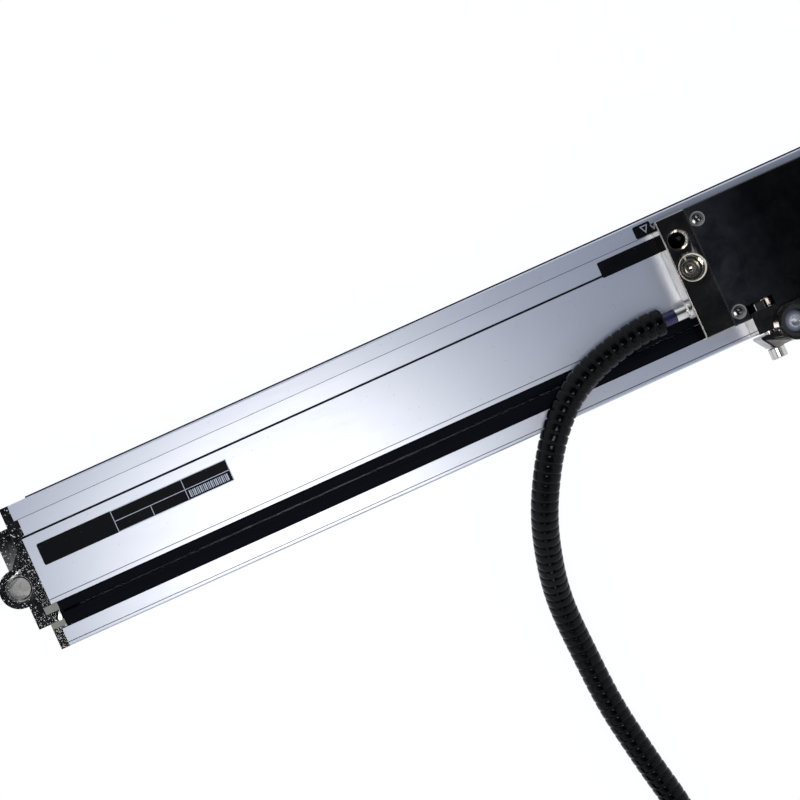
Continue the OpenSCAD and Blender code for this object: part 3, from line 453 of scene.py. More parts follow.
@dataclass(frozen=True)
class Ported(Finish):
    """A finish with painted highlights and painted shade inside the carriage's round ports.

    A disc is the port's name in the record, the disc's radius in mm and its tone: a pale tone is a
    painted highlight, a near-black one is painted shade.
    """

    painted_light_discs: tuple[tuple[str, float, Colour], ...] = ()
    sink_mm: float = 0.05

    def pattern(self, g: Graph, colour: Socket) -> Socket:
        """Paints each port's disc below the flange's face, the widest first: pale discs are painted
        highlights, the black one painted shade.
        """
        x, y, z = axes_mm(g)
        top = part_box("carriage_flange_left")[1].z / MM
        sunk = g.math("LESS_THAN", z, top - self.sink_mm)
        mounts = {row["name"]: row["pos_m"] for row in frame["record"]["mounts"]}
        for port, radius, tone in self.painted_light_discs:
            ways = [g.math("SUBTRACT", at, mid / MM) for at, mid in zip((x, y), mounts[port])]
            away = g.math("ADD", *(g.math("MULTIPLY", way, way) for way in ways))
            inside = g.math("LESS_THAN", away, radius * radius)
            colour = g.blend(g.math("MULTIPLY", inside, sunk), colour, tone)
        return colour


@dataclass(frozen=True)
class Parted(Finish):
    """A finish with a darker copy of its tone, painted shade, on one of the nodes that wear it."""

    node: str = ""
    painted_shade_tone: Colour = (0.5, 0.5, 0.5)
    margin_mm: float = 0.1

    def pattern(self, g: Graph, colour: Socket) -> Socket:
        """Changes the tone to the painted shade inside that node's box."""
        mask: Socket | float = 1.0
        for at, low, high in zip(axes_mm(g), *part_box(self.node)):
            half = (high - low) / MM / 2 + self.margin_mm
            off = g.math("ABSOLUTE", g.math("SUBTRACT", at, (high + low) / MM / 2))
            mask = g.math("MULTIPLY", mask, g.math("LESS_THAN", off, half))
        return g.blend(mask, colour, self.painted_shade_tone)


@dataclass(frozen=True)
class SmudgeAndReflection(Finish):
    """A dark finish with pale clouds, partly smudges and partly painted reflections, that fade out
    along X, from the profile's left end.
    """

    smudge_and_reflection_tone: Colour = (0.040, 0.040, 0.037)
    smudge_and_reflection_mm: float = 8.0
    smudge_and_reflection_contrast: float = 0.15
    fade: Span = (300.0, 326.0)

    def pattern(self, g: Graph, colour: Socket) -> Socket:
        """Lays the smudges and painted reflections over the colour."""
        along = g.math("SUBTRACT", axes_mm(g)[0], BENCH.left)
        near = g.remap(along, 1.0, 0.0, *self.fade)
        cloud = use_group(
            g, "mottle", {"Size": self.smudge_and_reflection_mm, "Contrast": self.smudge_and_reflection_contrast}
        )
        return g.blend(g.math("MULTIPLY", near, cloud), colour, self.smudge_and_reflection_tone)


@dataclass(frozen=True)
class Glass:
    """Clear glass with a faint tint, dust and a slightly uneven polish."""

    slot: str
    tint: Colour
    rough: float = 0.02
    dust_rough: float = 0.12
    lighter: float = 1.06
    bump_mm: float = 0.004

    def build(self) -> bpy.types.Material:
        """Makes the material."""
        material, g = new_material(self.slot)
        patches = use_group(g, "mottle", {"Size": 14.0, "Contrast": 0.1})
        dust = use_group(g, "specks", {"Size": 1.5, "Amount": 0.15})
        pale = tuple(min(1.0, part * self.lighter) for part in self.tint)
        colour = g.blend(patches, self.tint, pale)
        dusty = g.math("ADD", patches, dust)
        rough = g.remap(dusty, self.rough, self.rough + self.dust_rough, 0.0, 2.0)
        grain = use_group(g, "grain", {"Size": 3.0})
        bump = g.node(
            "ShaderNodeBump", {"Strength": 1.0, "Distance": self.bump_mm * MM, "Height": grain}
        )
        shader = g.node(
            "ShaderNodeBsdfPrincipled",
            {
                "Base Color": colour,
                "Roughness": rough,
                "IOR": 1.52,
                "Transmission Weight": 0.92,
                "Normal": bump.outputs[0],
            },
        )
        g.node("ShaderNodeOutputMaterial", {"Surface": shader.outputs[0]})
        return material


FINISHES: tuple[Finish | Glass, ...] = (
    # the housing's grooves get painted shade, dark lines where the grooves fall in shadow
    Grooved(
        "satin_aluminium", tone=(0.68, 0.69, 0.71), shade=(0.63, 0.64, 0.66), metallic=0.55,
        rough=(0.29, 0.37), draw=Draw.ALONG_X, grain_mm=0.35, bump_mm=0.004, mottle_mm=60,
        contrast=0.0, specks=0.05, speck_mm=1.4, speck_tone=(0.55, 0.56, 0.6), scratches=0.1,
        grooves=((1.65, 0.4), (20.45, 0.4), (48.02, 0.7), (55.6, 0.4)),
    ),
    Finish(
        "bearing_steel", tone=(0.70, 0.71, 0.73), shade=(0.66, 0.67, 0.69), metallic=0.55,
        rough=(0.28, 0.36), draw=Draw.ALONG_X, grain_mm=0.35, bump_mm=0.003, mottle_mm=60,
        contrast=0.0, scratches=0.1,
    ),
    # the cover screws wear a darker copy of bright steel, painted shade for their dark reflections
    Parted(
        "bright_steel", tone=(0.80, 0.77, 0.72), shade=(0.56, 0.54, 0.51), metallic=1.0,
        rough=(0.12, 0.26), grain_mm=0.6, bump_mm=0.008, mottle_mm=4, contrast=0.3,
        node="cover_screws", painted_shade_tone=(0.20, 0.198, 0.195),
    ),
    Finish(
        "black_rubber", tone=(0.003, 0.0032, 0.006), shade=(0.0015, 0.0015, 0.003),
        rough=(0.5, 0.7), draw=Draw.ALONG_X, grain_mm=0.8, mottle_mm=20, contrast=0.3,
        specks=0.05, speck_mm=1.2, speck_tone=(0.012, 0.012, 0.016), specular=0.07,
    ),
    Finish(
        "black_strip", tone=(0.006, 0.006, 0.007), shade=(0.003, 0.003, 0.004),
        draw=Draw.ALONG_X, grain_mm=0.6, bump_mm=0.01, mottle_mm=30, specular=0.1,
    ),
    # the casting's bright specks are painted glints, set on pits that catch the lamps
    Finish(
        "zinc_casting", tone=(0.42, 0.41, 0.41), shade=(0.10, 0.095, 0.09), metallic=1.0,
        rough=(0.03, 0.12), grain_mm=0.9, bump_mm=0.035, mottle_mm=2.2, contrast=0.15,
        specks=0.5, speck_mm=0.9, pit_mm=0.13, speck_tone=(0.75, 0.77, 0.80),
    ),
    Finish(
        "clamp_metal", tone=(0.40, 0.38, 0.27), shade=(0.26, 0.245, 0.175), metallic=0.3,
        rough=(0.4, 0.6), bump_mm=0.03, mottle_mm=4, specks=0.1,
    ),
    Finish(
        "screw_steel", tone=(0.40, 0.40, 0.41), shade=(0.22, 0.22, 0.225), metallic=1.0,
        rough=(0.2, 0.36), grain_mm=0.4, bump_mm=0.01, mottle_mm=5, contrast=0.3,
    ),
    Ruled(
        "chrome_lines", tone=(0.58, 0.59, 0.62), shade=(0.50, 0.51, 0.54), metallic=1.0,
        rough=(0.1, 0.2), grain_mm=1.0, bump_mm=0.001, mottle_mm=20, contrast=0.1,
    ),
    Finish(
        "bond", tone=(0.60, 0.58, 0.48), shade=(0.50, 0.48, 0.38), rough=(0.5, 0.7),
        grain_mm=1.0, bump_mm=0.05, mottle_mm=8,
    ),
    Ported(
        "carriage_metal", tone=(0.50, 0.46, 0.42), shade=(0.12, 0.11, 0.105), metallic=1.0,
        rough=(0.04, 0.14), grain_mm=2.2, bump_mm=0.005, mottle_mm=8, contrast=0.1, specks=0.04,
        speck_mm=0.5, speck_tone=(0.75, 0.72, 0.7), scratches=0.25,
        # pale discs are painted highlights in the ports; the small port's black core is painted shade
        # in its hole
        painted_light_discs=(
            ("large_port", 5.8, (0.58, 0.54, 0.47)),
            ("small_port", 5.0, (0.50, 0.47, 0.43)),
            ("small_port", 3.3, (0.012, 0.012, 0.012)),
        ),
    ),
    # the cover's pale clouds are partly smudges and partly painted reflections
    SmudgeAndReflection(
        "gloss_black", tone=(0.0045, 0.0045, 0.0042), shade=(0.001, 0.001, 0.001),
        rough=(0.05, 0.25), grain_mm=4.0, bump_mm=0.006, mottle_mm=14, contrast=0.1,
    ),
    Finish(
        "pcb", tone=(0.02, 0.12, 0.05), shade=(0.015, 0.09, 0.04), rough=(0.3, 0.5),
        grain_mm=0.6, bump_mm=0.01, mottle_mm=3, contrast=0.5,
    ),
    Finish(
        "spring_bronze", tone=(0.55, 0.36, 0.16), shade=(0.42, 0.26, 0.11), metallic=1.0,
        rough=(0.25, 0.4), draw=Draw.ALONG_X, grain_mm=0.2, bump_mm=0.004, mottle_mm=6,
    ),
    Finish(
        "frame_metal", tone=(0.42, 0.43, 0.45), shade=(0.34, 0.35, 0.37), metallic=1.0,
        rough=(0.3, 0.45), draw=Draw.ALONG_X, grain_mm=0.3, bump_mm=0.01, mottle_mm=12,
    ),
    Finish(
        "lamp_plastic", tone=(0.80, 0.80, 0.74), shade=(0.72, 0.72, 0.66), rough=(0.2, 0.35),
        grain_mm=0.8, bump_mm=0.01, mottle_mm=5, contrast=0.1,
    ),
    Finish(
        "cell_silicon", tone=(0.03, 0.04, 0.10), shade=(0.02, 0.025, 0.07), rough=(0.15, 0.3),
        bump_mm=0.005, mottle_mm=2, contrast=0.3,
    ),
    Finish(
        "cup_plastic", tone=(0.022, 0.021, 0.020), shade=(0.012, 0.012, 0.012),
        rough=(0.35, 0.5), bump_mm=0.01, mottle_mm=6,
    ),
    Finish(
        "sleeve_metal", tone=(0.06, 0.06, 0.13), shade=(0.02, 0.02, 0.05), metallic=0.8,
        rough=(0.2, 0.36), draw=Draw.ALONG_Y, grain_mm=0.4, bump_mm=0.01, mottle_mm=3,
        contrast=0.3,
    ),
    Finish(
        "hose_jacket", tone=(0.0012, 0.0012, 0.0012), shade=(0.0006, 0.0006, 0.0006),
        rough=(0.08, 0.17), grain_mm=0.7, bump_mm=0.004, mottle_mm=25, contrast=0.3, specks=0.04,
        speck_mm=1.5, speck_tone=(0.008, 0.008, 0.01), specular=0.13,
    ),
    Finish(
        "tie_plastic", tone=(0.78, 0.78, 0.74), shade=(0.70, 0.70, 0.66), rough=(0.35, 0.5),
        bump_mm=0.01, mottle_mm=6, contrast=0.1,
    ),
    Finish(
        "connector_nickel", tone=(0.62, 0.60, 0.56), shade=(0.48, 0.46, 0.43), metallic=1.0,
        rough=(0.2, 0.34), draw=Draw.TURNED, grain_mm=0.4, bump_mm=0.008, mottle_mm=10,
        scratches=0.3,
    ),
    Finish(
        "connector_plastic", tone=(0.020, 0.020, 0.020), shade=(0.012, 0.012, 0.012),
        rough=(0.4, 0.5), grain_mm=0.4, bump_mm=0.01, mottle_mm=4,
    ),
    Finish(
        "gold_pins", tone=(0.80, 0.58, 0.22), shade=(0.70, 0.48, 0.17), metallic=1.0,
        rough=(0.15, 0.25), grain_mm=0.3, bump_mm=0.003, mottle_mm=2,
    ),
    Glass(
        "scale_glass", tint=(0.86, 0.93, 0.91),
    ),
    Glass(
        "lens_glass", tint=(0.93, 0.96, 0.98), rough=0.01,
    ),
    Finish(
        "plate_black", tone=(0.004, 0.004, 0.005), shade=(0.002, 0.002, 0.003),
        rough=(0.35, 0.55), draw=Draw.ALONG_X, grain_mm=0.4, bump_mm=0.006, mottle_mm=12,
        contrast=0.3, specks=0.02, speck_mm=0.6, speck_tone=(0.08, 0.08, 0.09), specular=0.08,
    ),
    Finish(
        "plate_silver", tone=(0.50, 0.52, 0.58), shade=(0.42, 0.44, 0.50), metallic=0.6,
        draw=Draw.ALONG_X, grain_mm=0.3, bump_mm=0.004, mottle_mm=12,
    ),
)


class Palette:
    """Builds every finish once and hands it out by name."""

    def __init__(self, finishes: Iterable[Finish | Glass]) -> None:
        """Builds the materials."""
        self.made = {finish.slot: finish.build() for finish in finishes}

    def dress(self, piece: bpy.types.Object, slot: str) -> None:
        """Gives a piece one finish.

        Args:
            piece: The object to dress.
            slot: The finish's name.
        """
        piece.data.materials.clear()
        piece.data.materials.append(self.made[slot])


# ---------------------------------------------------------------- mesh helpers


WELD_MM = 0.002  # corners nearer than this are one
FLAT_DEG = 0.6  # faces that turn less than this are one
SHARP_DEG = 35  # edges that turn more than this are rounded
ROUNDING_STEPS = 2


def new_piece(
    name: str, verts: Sequence[Vector], faces: Sequence[Sequence[int]], smooth: bool = False
) -> bpy.types.Object:
    """Makes a mesh object in the scene.

    Args:
        name: The piece's name.
        verts: Points in metres.
        faces: Corner numbers of each face.
        smooth: Whether it is shaded smooth.

    Returns:
        The new object.
    """
    mesh = bpy.data.meshes.new(name)
    mesh.from_pydata([tuple(v) for v in verts], [], [tuple(f) for f in faces])
    mesh.validate()
    if smooth:
        mesh.shade_smooth()
    piece = bpy.data.objects.new(name, mesh)
    bpy.context.scene.collection.objects.link(piece)
    return piece


def soften(node: str, name: str, width_mm: float, body: str) -> bpy.types.Object:
    """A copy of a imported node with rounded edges, which stands for it.

    Args:
        node: The CAD node.
        name: The new piece's name.
        width_mm: Width of the rounding.
        body: The CAD body it rides on.

    Returns:
        The softened piece.
    """
    mesh = frame["nodes"][node].data.copy()
    mesh.name = name
    work = bmesh.new()
    work.from_mesh(mesh)
    bmesh.ops.remove_doubles(work, verts=work.verts, dist=WELD_MM * MM)
    bmesh.ops.dissolve_limit(
        work, angle_limit=math.radians(FLAT_DEG), verts=work.verts, edges=work.edges
    )
    work.to_mesh(mesh)
    work.free()
    piece = bpy.data.objects.new(name, mesh)
    bpy.context.scene.collection.objects.link(piece)
    bevel = piece.modifiers.new("rounding", "BEVEL")
    bevel.width = width_mm * MM
    bevel.segments = ROUNDING_STEPS
    bevel.limit_method = "ANGLE"
    bevel.angle_limit = math.radians(SHARP_DEG)
    bevel.harden_normals = True
    mesh.shade_smooth()
    mesh.set_sharp_from_angle(angle=math.radians(SHARP_DEG))
    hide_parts(node)
    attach(piece, body)
    return piece


# ---------------------------------------------------------------- hose


@dataclass
class Hose:
    """The ribbed protective hose: its route over the housing, its coil and its tail.

    Sizes and points are in mm in the housing's frame. A rib's shape is pairs of the share of its
    pitch and the share of its depth. The length in metres is known once the hose is built.
    """

    bench: Bench
    length: float = field(default=0.0, init=False)
    diameter: float = 11.5
    rib_pitch: float = 4.0
    rib_depth: float = 0.5
    rib_samples: int = 16
    rib_shape: tuple[Span, ...] = (
        (0.0, 0.0), (0.05, 0.08), (0.11, 0.78), (0.17, 0.96), (0.3, 1.0), (0.72, 0.98),
        (0.86, 0.86), (0.95, 0.3),
    )
    sides: int = 20
    path_step: float = 6.0
    coil_centre: Span = (125.25, -250.0)
    coil_middle: float = 63.5
    coil_floor: float = 1.2
    turn_samples: int = 72
    cross_start: float = 0.74
    cross_share: float = 0.24
    cross_rise: float = 6.4
    route: tuple[Point, ...] = (
        (273, 21.3, 45.2), (264, 21.3, 45.2), (251, 19, 44.6), (236, 14, 43.8), (223, 5.5, 43.4),
        (211, -8, 42.6), (200, -28, 36.5), (194, -48, 26), (191, -70, 14.5), (191.5, -96, 7.6),
        (193, -122, 6), (197, -148, 5.9), (201.5, -172, 5.9), (205, -200, 6.2), (206, -225, 6.7),
        (206, -250, 7),
    )
    tail: tuple[Point, ...] = (
        (50.25, -250, 16.9), (50.6, -236, 17.6), (50, -220, 18.6), (47.5, -204, 16.6),
        (41.5, -189.5, 13), (31.5, -177.5, 11), (18, -170.5, 11.6), (2, -168.5, 13),
    )
    far_pieces: tuple[str, ...] = (
        "coil_tie", "connector_gland", "connector_grip", "connector_ring", "connector_insert",
        "connector_pins",
    )

    def coil(self) -> list[Vector]:
        """Centreline of the coil: four turns on the floor, then turns in the hollows above them."""
        d = self.diameter
        lower = [self.coil_middle + d * k for k in (1.5, 0.5, -0.5, -1.5)]
        upper = [self.coil_middle + d * k for k in (-1.0, 0.0, 1.0)]
        low_z = self.coil_floor + d / 2
        high_z = low_z + d * math.sin(math.radians(60))
        rings = [(r, low_z) for r in lower] + [(r, high_z) for r in upper]
        mid_x, mid_y = self.coil_centre
        points = []
        for step in range(int((len(rings) - 0.5) * self.turn_samples) + 1):
            turn = step / self.turn_samples
            k = int(turn)
            share = min(1.0, max(0.0, (turn - k - self.cross_start) / self.cross_share))
            share = share * share * (3 - 2 * share)
            near, far = rings[k], rings[min(k + 1, len(rings) - 1)]
            radius = near[0] + (far[0] - near[0]) * share
            height = near[1] + (far[1] - near[1]) * share
            if k >= len(lower):
                height += self.cross_rise * share * (1 - share)
            angle = -2 * math.pi * turn
            x, y = mid_x + radius * math.cos(angle), mid_y + radius * math.sin(angle)
            points.append(Vector((x, y, height)))
        return points

    @staticmethod
    def smooth(points: Sequence[Vector], step: float) -> list[Vector]:
        """A smooth line through points, sampled evenly.

        Args:
            points: Points to pass through.
            step: Distance between samples.

        Returns:
            The samples.
        """
        dense_step, fewest = 0.8, 4
        dense: list[Vector] = []
        for i in range(len(points) - 1):
            p0 = points[max(i - 1, 0)]
            p1, p2 = points[i], points[i + 1]
            p3 = points[min(i + 2, len(points) - 1)]
            count = max(fewest, int((p2 - p1).length / dense_step))
            for j in range(count):
                t = j / count
                curve = (2 * p1) + (p2 - p0) * t
                curve += (2 * p0 - 5 * p1 + 4 * p2 - p3) * t * t
                curve += (3 * p1 - p0 - 3 * p2 + p3) * t**3
                dense.append(0.5 * curve)
        dense.append(points[-1])
        samples, left = [dense[0]], step
        for a, b in zip(dense, dense[1:]):
            span = (b - a).length
            at = 0.0
            while span - at >= left:
                at += left
                samples.append(a.lerp(b, at / span))
                left = step
            left -= span - at
        samples.append(dense[-1])
        return samples

    def centreline(self, step: float) -> list[Vector]:
        """The whole centreline in millimetres, sampled evenly."""
        route = [Vector(p) for p in self.route]
        tail = [Vector(p) for p in self.tail]
        return self.smooth(route[:-1] + self.coil() + tail[1:], step)

    def tube(self, line: Sequence[Vector], ribs: int) -> list[Vector]:
        """Points of the ribbed tube, ring after ring.

        Args:
            line: The centreline, sampled evenly.
            ribs: How many ribs it has.

        Returns:
            The points in metres.
        """
        verts: list[Vector] = []
        steps = len(line) - 1
        for rib in range(ribs):
            for share, rise in self.rib_shape:
                place = (rib + share) / ribs * steps
                k = int(place)
                centre = line[k].lerp(line[k + 1], place - k)
                along = (line[min(k + 2, steps)] - line[max(k - 1, 0)]).normalized()
                side = along.cross(Vector((0, 0, 1))).normalized()
                up = side.cross(along)
                radius = self.diameter / 2 - self.rib_depth * (1 - rise)
                for j in range(self.sides):
                    angle = 2 * math.pi * j / self.sides
                    out = math.cos(angle) * side + math.sin(angle) * up
                    verts.append(self.bench.point(*(centre + radius * out)))
        return verts

    def build(self, palette: Palette) -> None:
        """Sweeps the ribbed tube along the centreline.

        Args:
            palette: The finishes.
        """
        line = self.centreline(self.rib_pitch / self.rib_samples)
        total = sum((b - a).length for a, b in zip(line, line[1:]))
        self.length = total * MM
        verts = self.tube(line, int(total / self.rib_pitch))
        n = self.sides
        rings = len(verts) // n
        faces = [
            (r * n + j, r * n + (j + 1) % n, (r + 1) * n + (j + 1) % n, (r + 1) * n + j)
            for r in range(rings - 1) for j in range(n)
        ]
        faces.append(tuple(reversed(range(n))))
        faces.append(tuple((rings - 1) * n + j for j in range(n)))
        piece = new_piece("ribbed_hose", verts, faces, smooth=True)
        palette.dress(piece, "hose_jacket")
        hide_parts("hose", "hose_coil", "hose_tail")
        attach(piece, "carriage")
        path = [self.bench.point(*p) for p in self.centreline(self.path_step)]
        tuple(self.bench.point(*self.route[0]))
        log.info("%s: %.3f m long, %d points", piece.name, self.length, len(verts))


# ---------------------------------------------------------------- stage


@dataclass(frozen=True)
class Lamp:
    """A square area lamp: its place and target in the housing's frame, its side in m, its watts."""

    name: str
    place: Point
    target: Point
    side: float
    watts: float
    colour: Colour = (1.0, 1.0, 1.0)

    def build(self, bench: Bench) -> None:
        """Hangs the lamp and aims it."""
        data = bpy.data.lights.new(self.name, "AREA")
        data.shape = "RECTANGLE"
        data.size = data.size_y = self.side
        data.energy = self.watts
        data.color = self.colour
        made = bpy.data.objects.new(self.name, data)
        made.location = bench.point(*self.place)
        aim = bench.point(*self.target) - made.location
        made.rotation_euler = aim.to_track_quat("-Z", "Y").to_euler()
        bpy.context.scene.collection.objects.link(made)


@dataclass
class Stage:
    """Camera, floor, world and lamps; lengths are in mm."""

    bench: Bench
    look_x: float = 164.0
    look_y: float = 36.0
    distance: float = 550.0
    view_width: float = 326.5
    roll_deg: float = 24.3
    sensor_width: float = 36.0
    floor_half: float = 3000.0
    floor_drop: float = 0.2
    floor_tones: tuple[Colour, Colour] = ((0.86, 0.86, 0.86), (0.90, 0.90, 0.90))
    floor_glow: float = 1.1
    glow_seen: float = 0.85
    glow_mirrored: float = 0.6
    sky: Colour = (0.30, 0.38, 0.62)
    room_walls: Colour = (0.88, 0.92, 0.98)
    room_ceiling: Colour = (0.024, 0.027, 0.032)
    ceiling_span: Span = (0.50, 0.93)
    lamps: tuple[Lamp, ...] = (
        Lamp("key", (20, -70, 1100), (115, 0, 37), 0.3, 1.98),
        Lamp("side", (-176, -40, 1100), (20, 30, 37), 0.10, 0.36),
        Lamp("fill", (650, -420, 900), (300, 20, 37), 0.6, 0.6, (0.92, 0.95, 1.0)),
    )

    def camera(self) -> None:
        """Sets the camera straight above the front face."""
        data = bpy.data.cameras.new("main_view")
        data.sensor_width = self.sensor_width
        data.lens = data.sensor_width * self.distance / self.view_width
        data.clip_start, data.clip_end = 0.01, 20.0
        made = bpy.data.objects.new("main_view", data)
        made.location = self.bench.point(self.look_x, self.look_y, self.bench.front + self.distance)
        made.rotation_euler = (0.0, 0.0, -math.radians(self.roll_deg))
        bpy.context.scene.collection.objects.link(made)
        bpy.context.scene.camera = made

    def floor(self) -> None:
        """Lays a plain pale floor that keeps the shadow."""
        half = self.floor_half * MM
        signs = ((-1, -1), (1, -1), (1, 1), (-1, 1))
        corners = [Vector((half * x, half * y, 0)) for x, y in signs]
        piece = new_piece("floor", corners, [(0, 1, 2, 3)])
        piece.location.z = -self.floor_drop * MM
        material, g = new_material("floor_white")
        patches = use_group(g, "mottle", {"Size": 90.0, "Contrast": 0.0})
        colour = g.blend(patches, *self.floor_tones)
        lit = g.node("ShaderNodeBsdfDiffuse", {"Color": colour}).outputs[0]
        glow = g.node(
            "ShaderNodeEmission", {"Color": (1.0, 1.0, 1.0, 1.0), "Strength": self.floor_glow}
        )
        path = g.node("ShaderNodeLightPath")
        seen = g.math("MULTIPLY", path.outputs["Is Camera Ray"], self.glow_seen)
        mirrored = g.math("MULTIPLY", path.outputs["Is Glossy Ray"], self.glow_mirrored)
        share = g.math("MAXIMUM", seen, mirrored)
        mixed = g.node("ShaderNodeMixShader", {"0": share, "1": lit, "2": glow.outputs[0]})
        g.node("ShaderNodeOutputMaterial", {"Surface": mixed.outputs[0]})
        piece.data.materials.append(material)

    def world(self) -> None:
        """White for the camera, a pale room with a dark ceiling for gloss, a cool sky for the rest."""
        world = bpy.data.worlds.new("studio")
        bpy.context.scene.world = world
        world.use_nodes = True
        world.node_tree.nodes.clear()
        g = Graph(world.node_tree)
        path = g.node("ShaderNodeLightPath")
        seen = g.math("MAXIMUM", path.outputs["Is Camera Ray"], path.outputs["Is Transmission Ray"])
        aim = g.node("ShaderNodeTexCoord").outputs["Generated"]
        up = g.node("ShaderNodeSeparateXYZ", {"0": aim}).outputs[2]
        overhead = g.remap(up, 0.0, 1.0, *self.ceiling_span)
        room = g.blend(overhead, self.room_walls, self.room_ceiling)
        around = g.blend(path.outputs["Is Glossy Ray"], self.sky, room)
        colour = g.blend(seen, around, (1.0, 1.0, 1.0))
        back = g.node("ShaderNodeBackground", {"Color": colour, "Strength": 1.0})
        g.node("ShaderNodeOutputWorld", {"Surface": back.outputs[0]})

    def build(self) -> None:
        """Sets up the whole stage."""
        self.camera()
        self.floor()
        self.world()
        for lamp in self.lamps:
            lamp.build(self.bench)
        bpy.context.scene.view_settings.view_transform = "Standard"


# ---------------------------------------------------------------- sub-assemblies


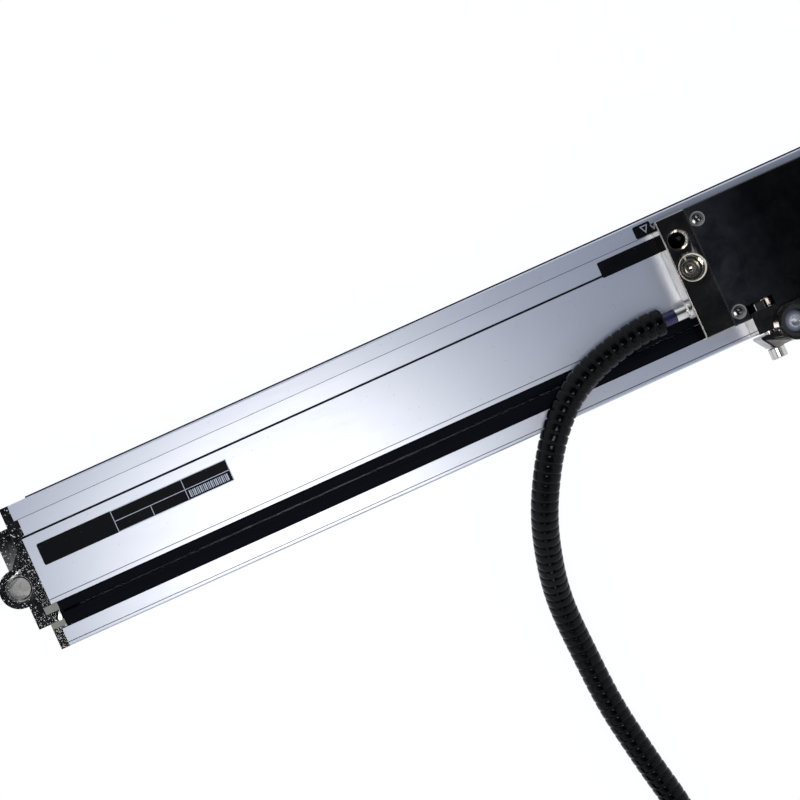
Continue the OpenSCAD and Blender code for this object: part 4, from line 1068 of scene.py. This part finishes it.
@dataclass
class Plates:
    """The bare plates on the housing's front face.

    Sizes are in mm. A plate's edges are x0, x1, y0 and y1 in the housing's frame, and the columns are
    where the name plate's upright rules start, from its left edge.
    """

    bench: Bench
    thick: float = 0.12
    rule: float = 0.28
    print_rise: float = 0.03
    corner: float = 0.5
    name_plate: Edges = (4.3, 89.0, 34.0, 43.4)
    dark_strip: Edges = (260.0, 285.7, 47.1, 53.8)
    tag: Edges = (279.0, 286.5, 55.8, 61.0)
    columns: tuple[float, ...] = (33.0, 49.0, 64.5)
    margin: float = 0.9
    triangle_half: float = 1.75
    triangle_place: float = 0.62
    triangle_hollow: float = 0.6
    bar_start: float = 65.8
    bar_end: float = 1.3
    bar_widths: tuple[float, ...] = (0.55, 0.3, 0.42)
    bar_gaps: tuple[float, ...] = (0.3, 0.45)

    def slab(self, name: str, edges: Edges, lift: float, thick: float) -> bpy.types.Object:
        """A thin plate with eased corners on the front face.

        Args:
            name: Its name.
            edges: x0, x1, y0 and y1 in the housing's frame.
            lift: Height of its underside above the face.
            thick: Its thickness.

        Returns:
            The plate.
        """
        x0, x1, y0, y1 = edges
        ease = min(self.corner, (x1 - x0) / 5, (y1 - y0) / 5)
        outline = [(x0 + ease, y0), (x1 - ease, y0), (x1, y0 + ease), (x1, y1 - ease),
                   (x1 - ease, y1), (x0 + ease, y1), (x0, y1 - ease), (x0, y0 + ease)]
        n = len(outline)
        z0 = self.bench.front + lift
        verts = [self.bench.point(x, y, z) for z in (z0, z0 + thick) for x, y in outline]
        faces = [tuple(reversed(range(n))), tuple(range(n, 2 * n))]
        faces += [(i, (i + 1) % n, n + (i + 1) % n, n + i) for i in range(n)]
        piece = new_piece(name, verts, faces)
        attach(piece, "housing")
        return piece

    def triangle(self) -> bpy.types.Object:
        """The small triangle on the tag."""
        x0, x1, y0, y1 = self.tag
        z = self.bench.front + self.thick
        mid_x = x0 + self.triangle_place * (x1 - x0)
        top, low = y1 - self.margin, y0 + self.margin
        mid_y = top - (top - low) / 3
        half, inset = self.triangle_half, self.triangle_hollow
        outer = [(mid_x - half, top), (mid_x, low), (mid_x + half, top)]
        inner = [(mid_x + inset * (x - mid_x), mid_y + inset * (y - mid_y)) for x, y in outer]
        rises = (0.0, self.print_rise)
        verts = [self.bench.point(x, y, z + rise) for rise in rises for x, y in outer + inner]
        low_out, low_in, high_out, high_in = 0, 3, 6, 9  # where each loop of corners starts
        sides = ((0, 1), (1, 2), (2, 0))
        faces = [(high_out + i, high_out + j, high_in + j, high_in + i) for i, j in sides]
        faces += [(low_out + i, low_out + j, high_out + j, high_out + i) for i, j in sides]
        faces += [(low_in + j, low_in + i, high_in + i, high_in + j) for i, j in sides]
        faces += [(low_in + i, low_in + j, low_out + j, low_out + i) for i, j in sides]
        piece = new_piece("tag_triangle", verts, faces)
        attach(piece, "housing")
        return piece

    def bars(self) -> bpy.types.Object:
        """A row of plain upright bars in the name plate's last field."""
        x0, x1, y0, y1 = self.name_plate
        z = self.bench.front + self.thick
        low, high = y0 + self.margin, (y0 + y1) / 2 - self.margin
        verts: list[Vector] = []
        faces: list[tuple[int, ...]] = []
        at, k = x0 + self.bar_start, 0
        while at < x1 - self.bar_end:
            wide = self.bar_widths[k % len(self.bar_widths)]
            n = len(verts)
            corners = ((at, low), (at + wide, low), (at + wide, high), (at, high))
            rises = (0.0, self.print_rise)
            verts += [self.bench.point(x, y, z + rise) for rise in rises for x, y in corners]
            faces += [(n + 3, n + 2, n + 1, n), (n + 4, n + 5, n + 6, n + 7)]
            faces += [(n + i, n + (i + 1) % 4, n + 4 + (i + 1) % 4, n + 4 + i) for i in range(4)]
            at += wide + self.bar_gaps[k % len(self.bar_gaps)]
            k += 1
        piece = new_piece("plate_bars", verts, faces)
        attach(piece, "housing")
        return piece

    def rules(self) -> dict[str, Edges]:
        """Edges of the rules that divide the name plate into empty fields."""
        x0, x1, y0, y1 = self.name_plate
        middle, wide = (y0 + y1) / 2, self.rule
        first, second, third = (x0 + column for column in self.columns)
        return {
            "rule_long": (first, x1, middle - wide / 2, middle + wide / 2),
            "rule_top": (first, x1, y1 - wide, y1),
            "rule_bottom": (first, x1, y0, y0 + wide),
            "rule_a": (first, first + wide, y0, y1),
            "rule_b": (second, second + wide, y0, middle),
            "rule_c": (third, third + wide, y0, y1),
            "rule_d": (x1 - wide, x1, y0, y1),
        }

    def build(self, palette: Palette) -> None:
        """Makes the plates, then what is printed on them."""
        plates = {
            "name_plate": self.name_plate, "dark_strip": self.dark_strip, "arrow_tag": self.tag,
        }
        black = [self.slab(name, edges, 0.0, self.thick) for name, edges in plates.items()]
        silver = [
            self.slab(name, edges, self.thick, self.print_rise)
            for name, edges in self.rules().items()
        ]
        silver += [self.triangle(), self.bars()]
        for pieces, slot in ((black, "plate_black"), (silver, "plate_silver")):
            for piece in pieces:
                palette.dress(piece, slot)
                log.info("plate %s", piece.name)


@dataclass
class Softened:
    """Pieces whose edges are eased: the node, the rounding's width in mm and the CAD body."""

    parts: dict[str, tuple[float, str]] = field(default_factory=lambda: {
        "end_block_left": (0.45, "housing"),
        "end_block_right": (0.45, "housing"),
        "carriage_flange_left": (0.2, "carriage"),
        "carriage_body": (0.2, "carriage"),
        "carriage_cover": (0.2, "carriage"),
        "driver_bracket": (0.7, "carriage"),
        "clamp_screw": (0.4, "carriage"),
        "clamp_nut": (0.8, "carriage"),
    })

    def build(self, palette: Palette, slots: dict[str, str]) -> None:
        """Makes each softened copy and gives it the node's own finish."""
        for node, (width, body) in self.parts.items():
            piece = soften(node, node + "_eased", width, body)
            palette.dress(piece, slots[node])
            log.info("eased %s", piece.name)


def main() -> None:
    """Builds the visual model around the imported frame."""
    logging.basicConfig(level=logging.INFO, format="%(name)s: %(message)s")
    slots = {row["node"]: row["material_slot"] for row in frame["record"]["subparts"]}
    Stage(BENCH).build()
    palette = Palette(FINISHES)
    for node, piece in frame["nodes"].items():
        palette.dress(piece, slots[node])
        log.info("%s wears %s", node, slots[node])
    Hose(BENCH).build(palette)
    Plates(BENCH).build(palette)
    Softened().build(palette, slots)


if __name__ == "__main__":
    main()
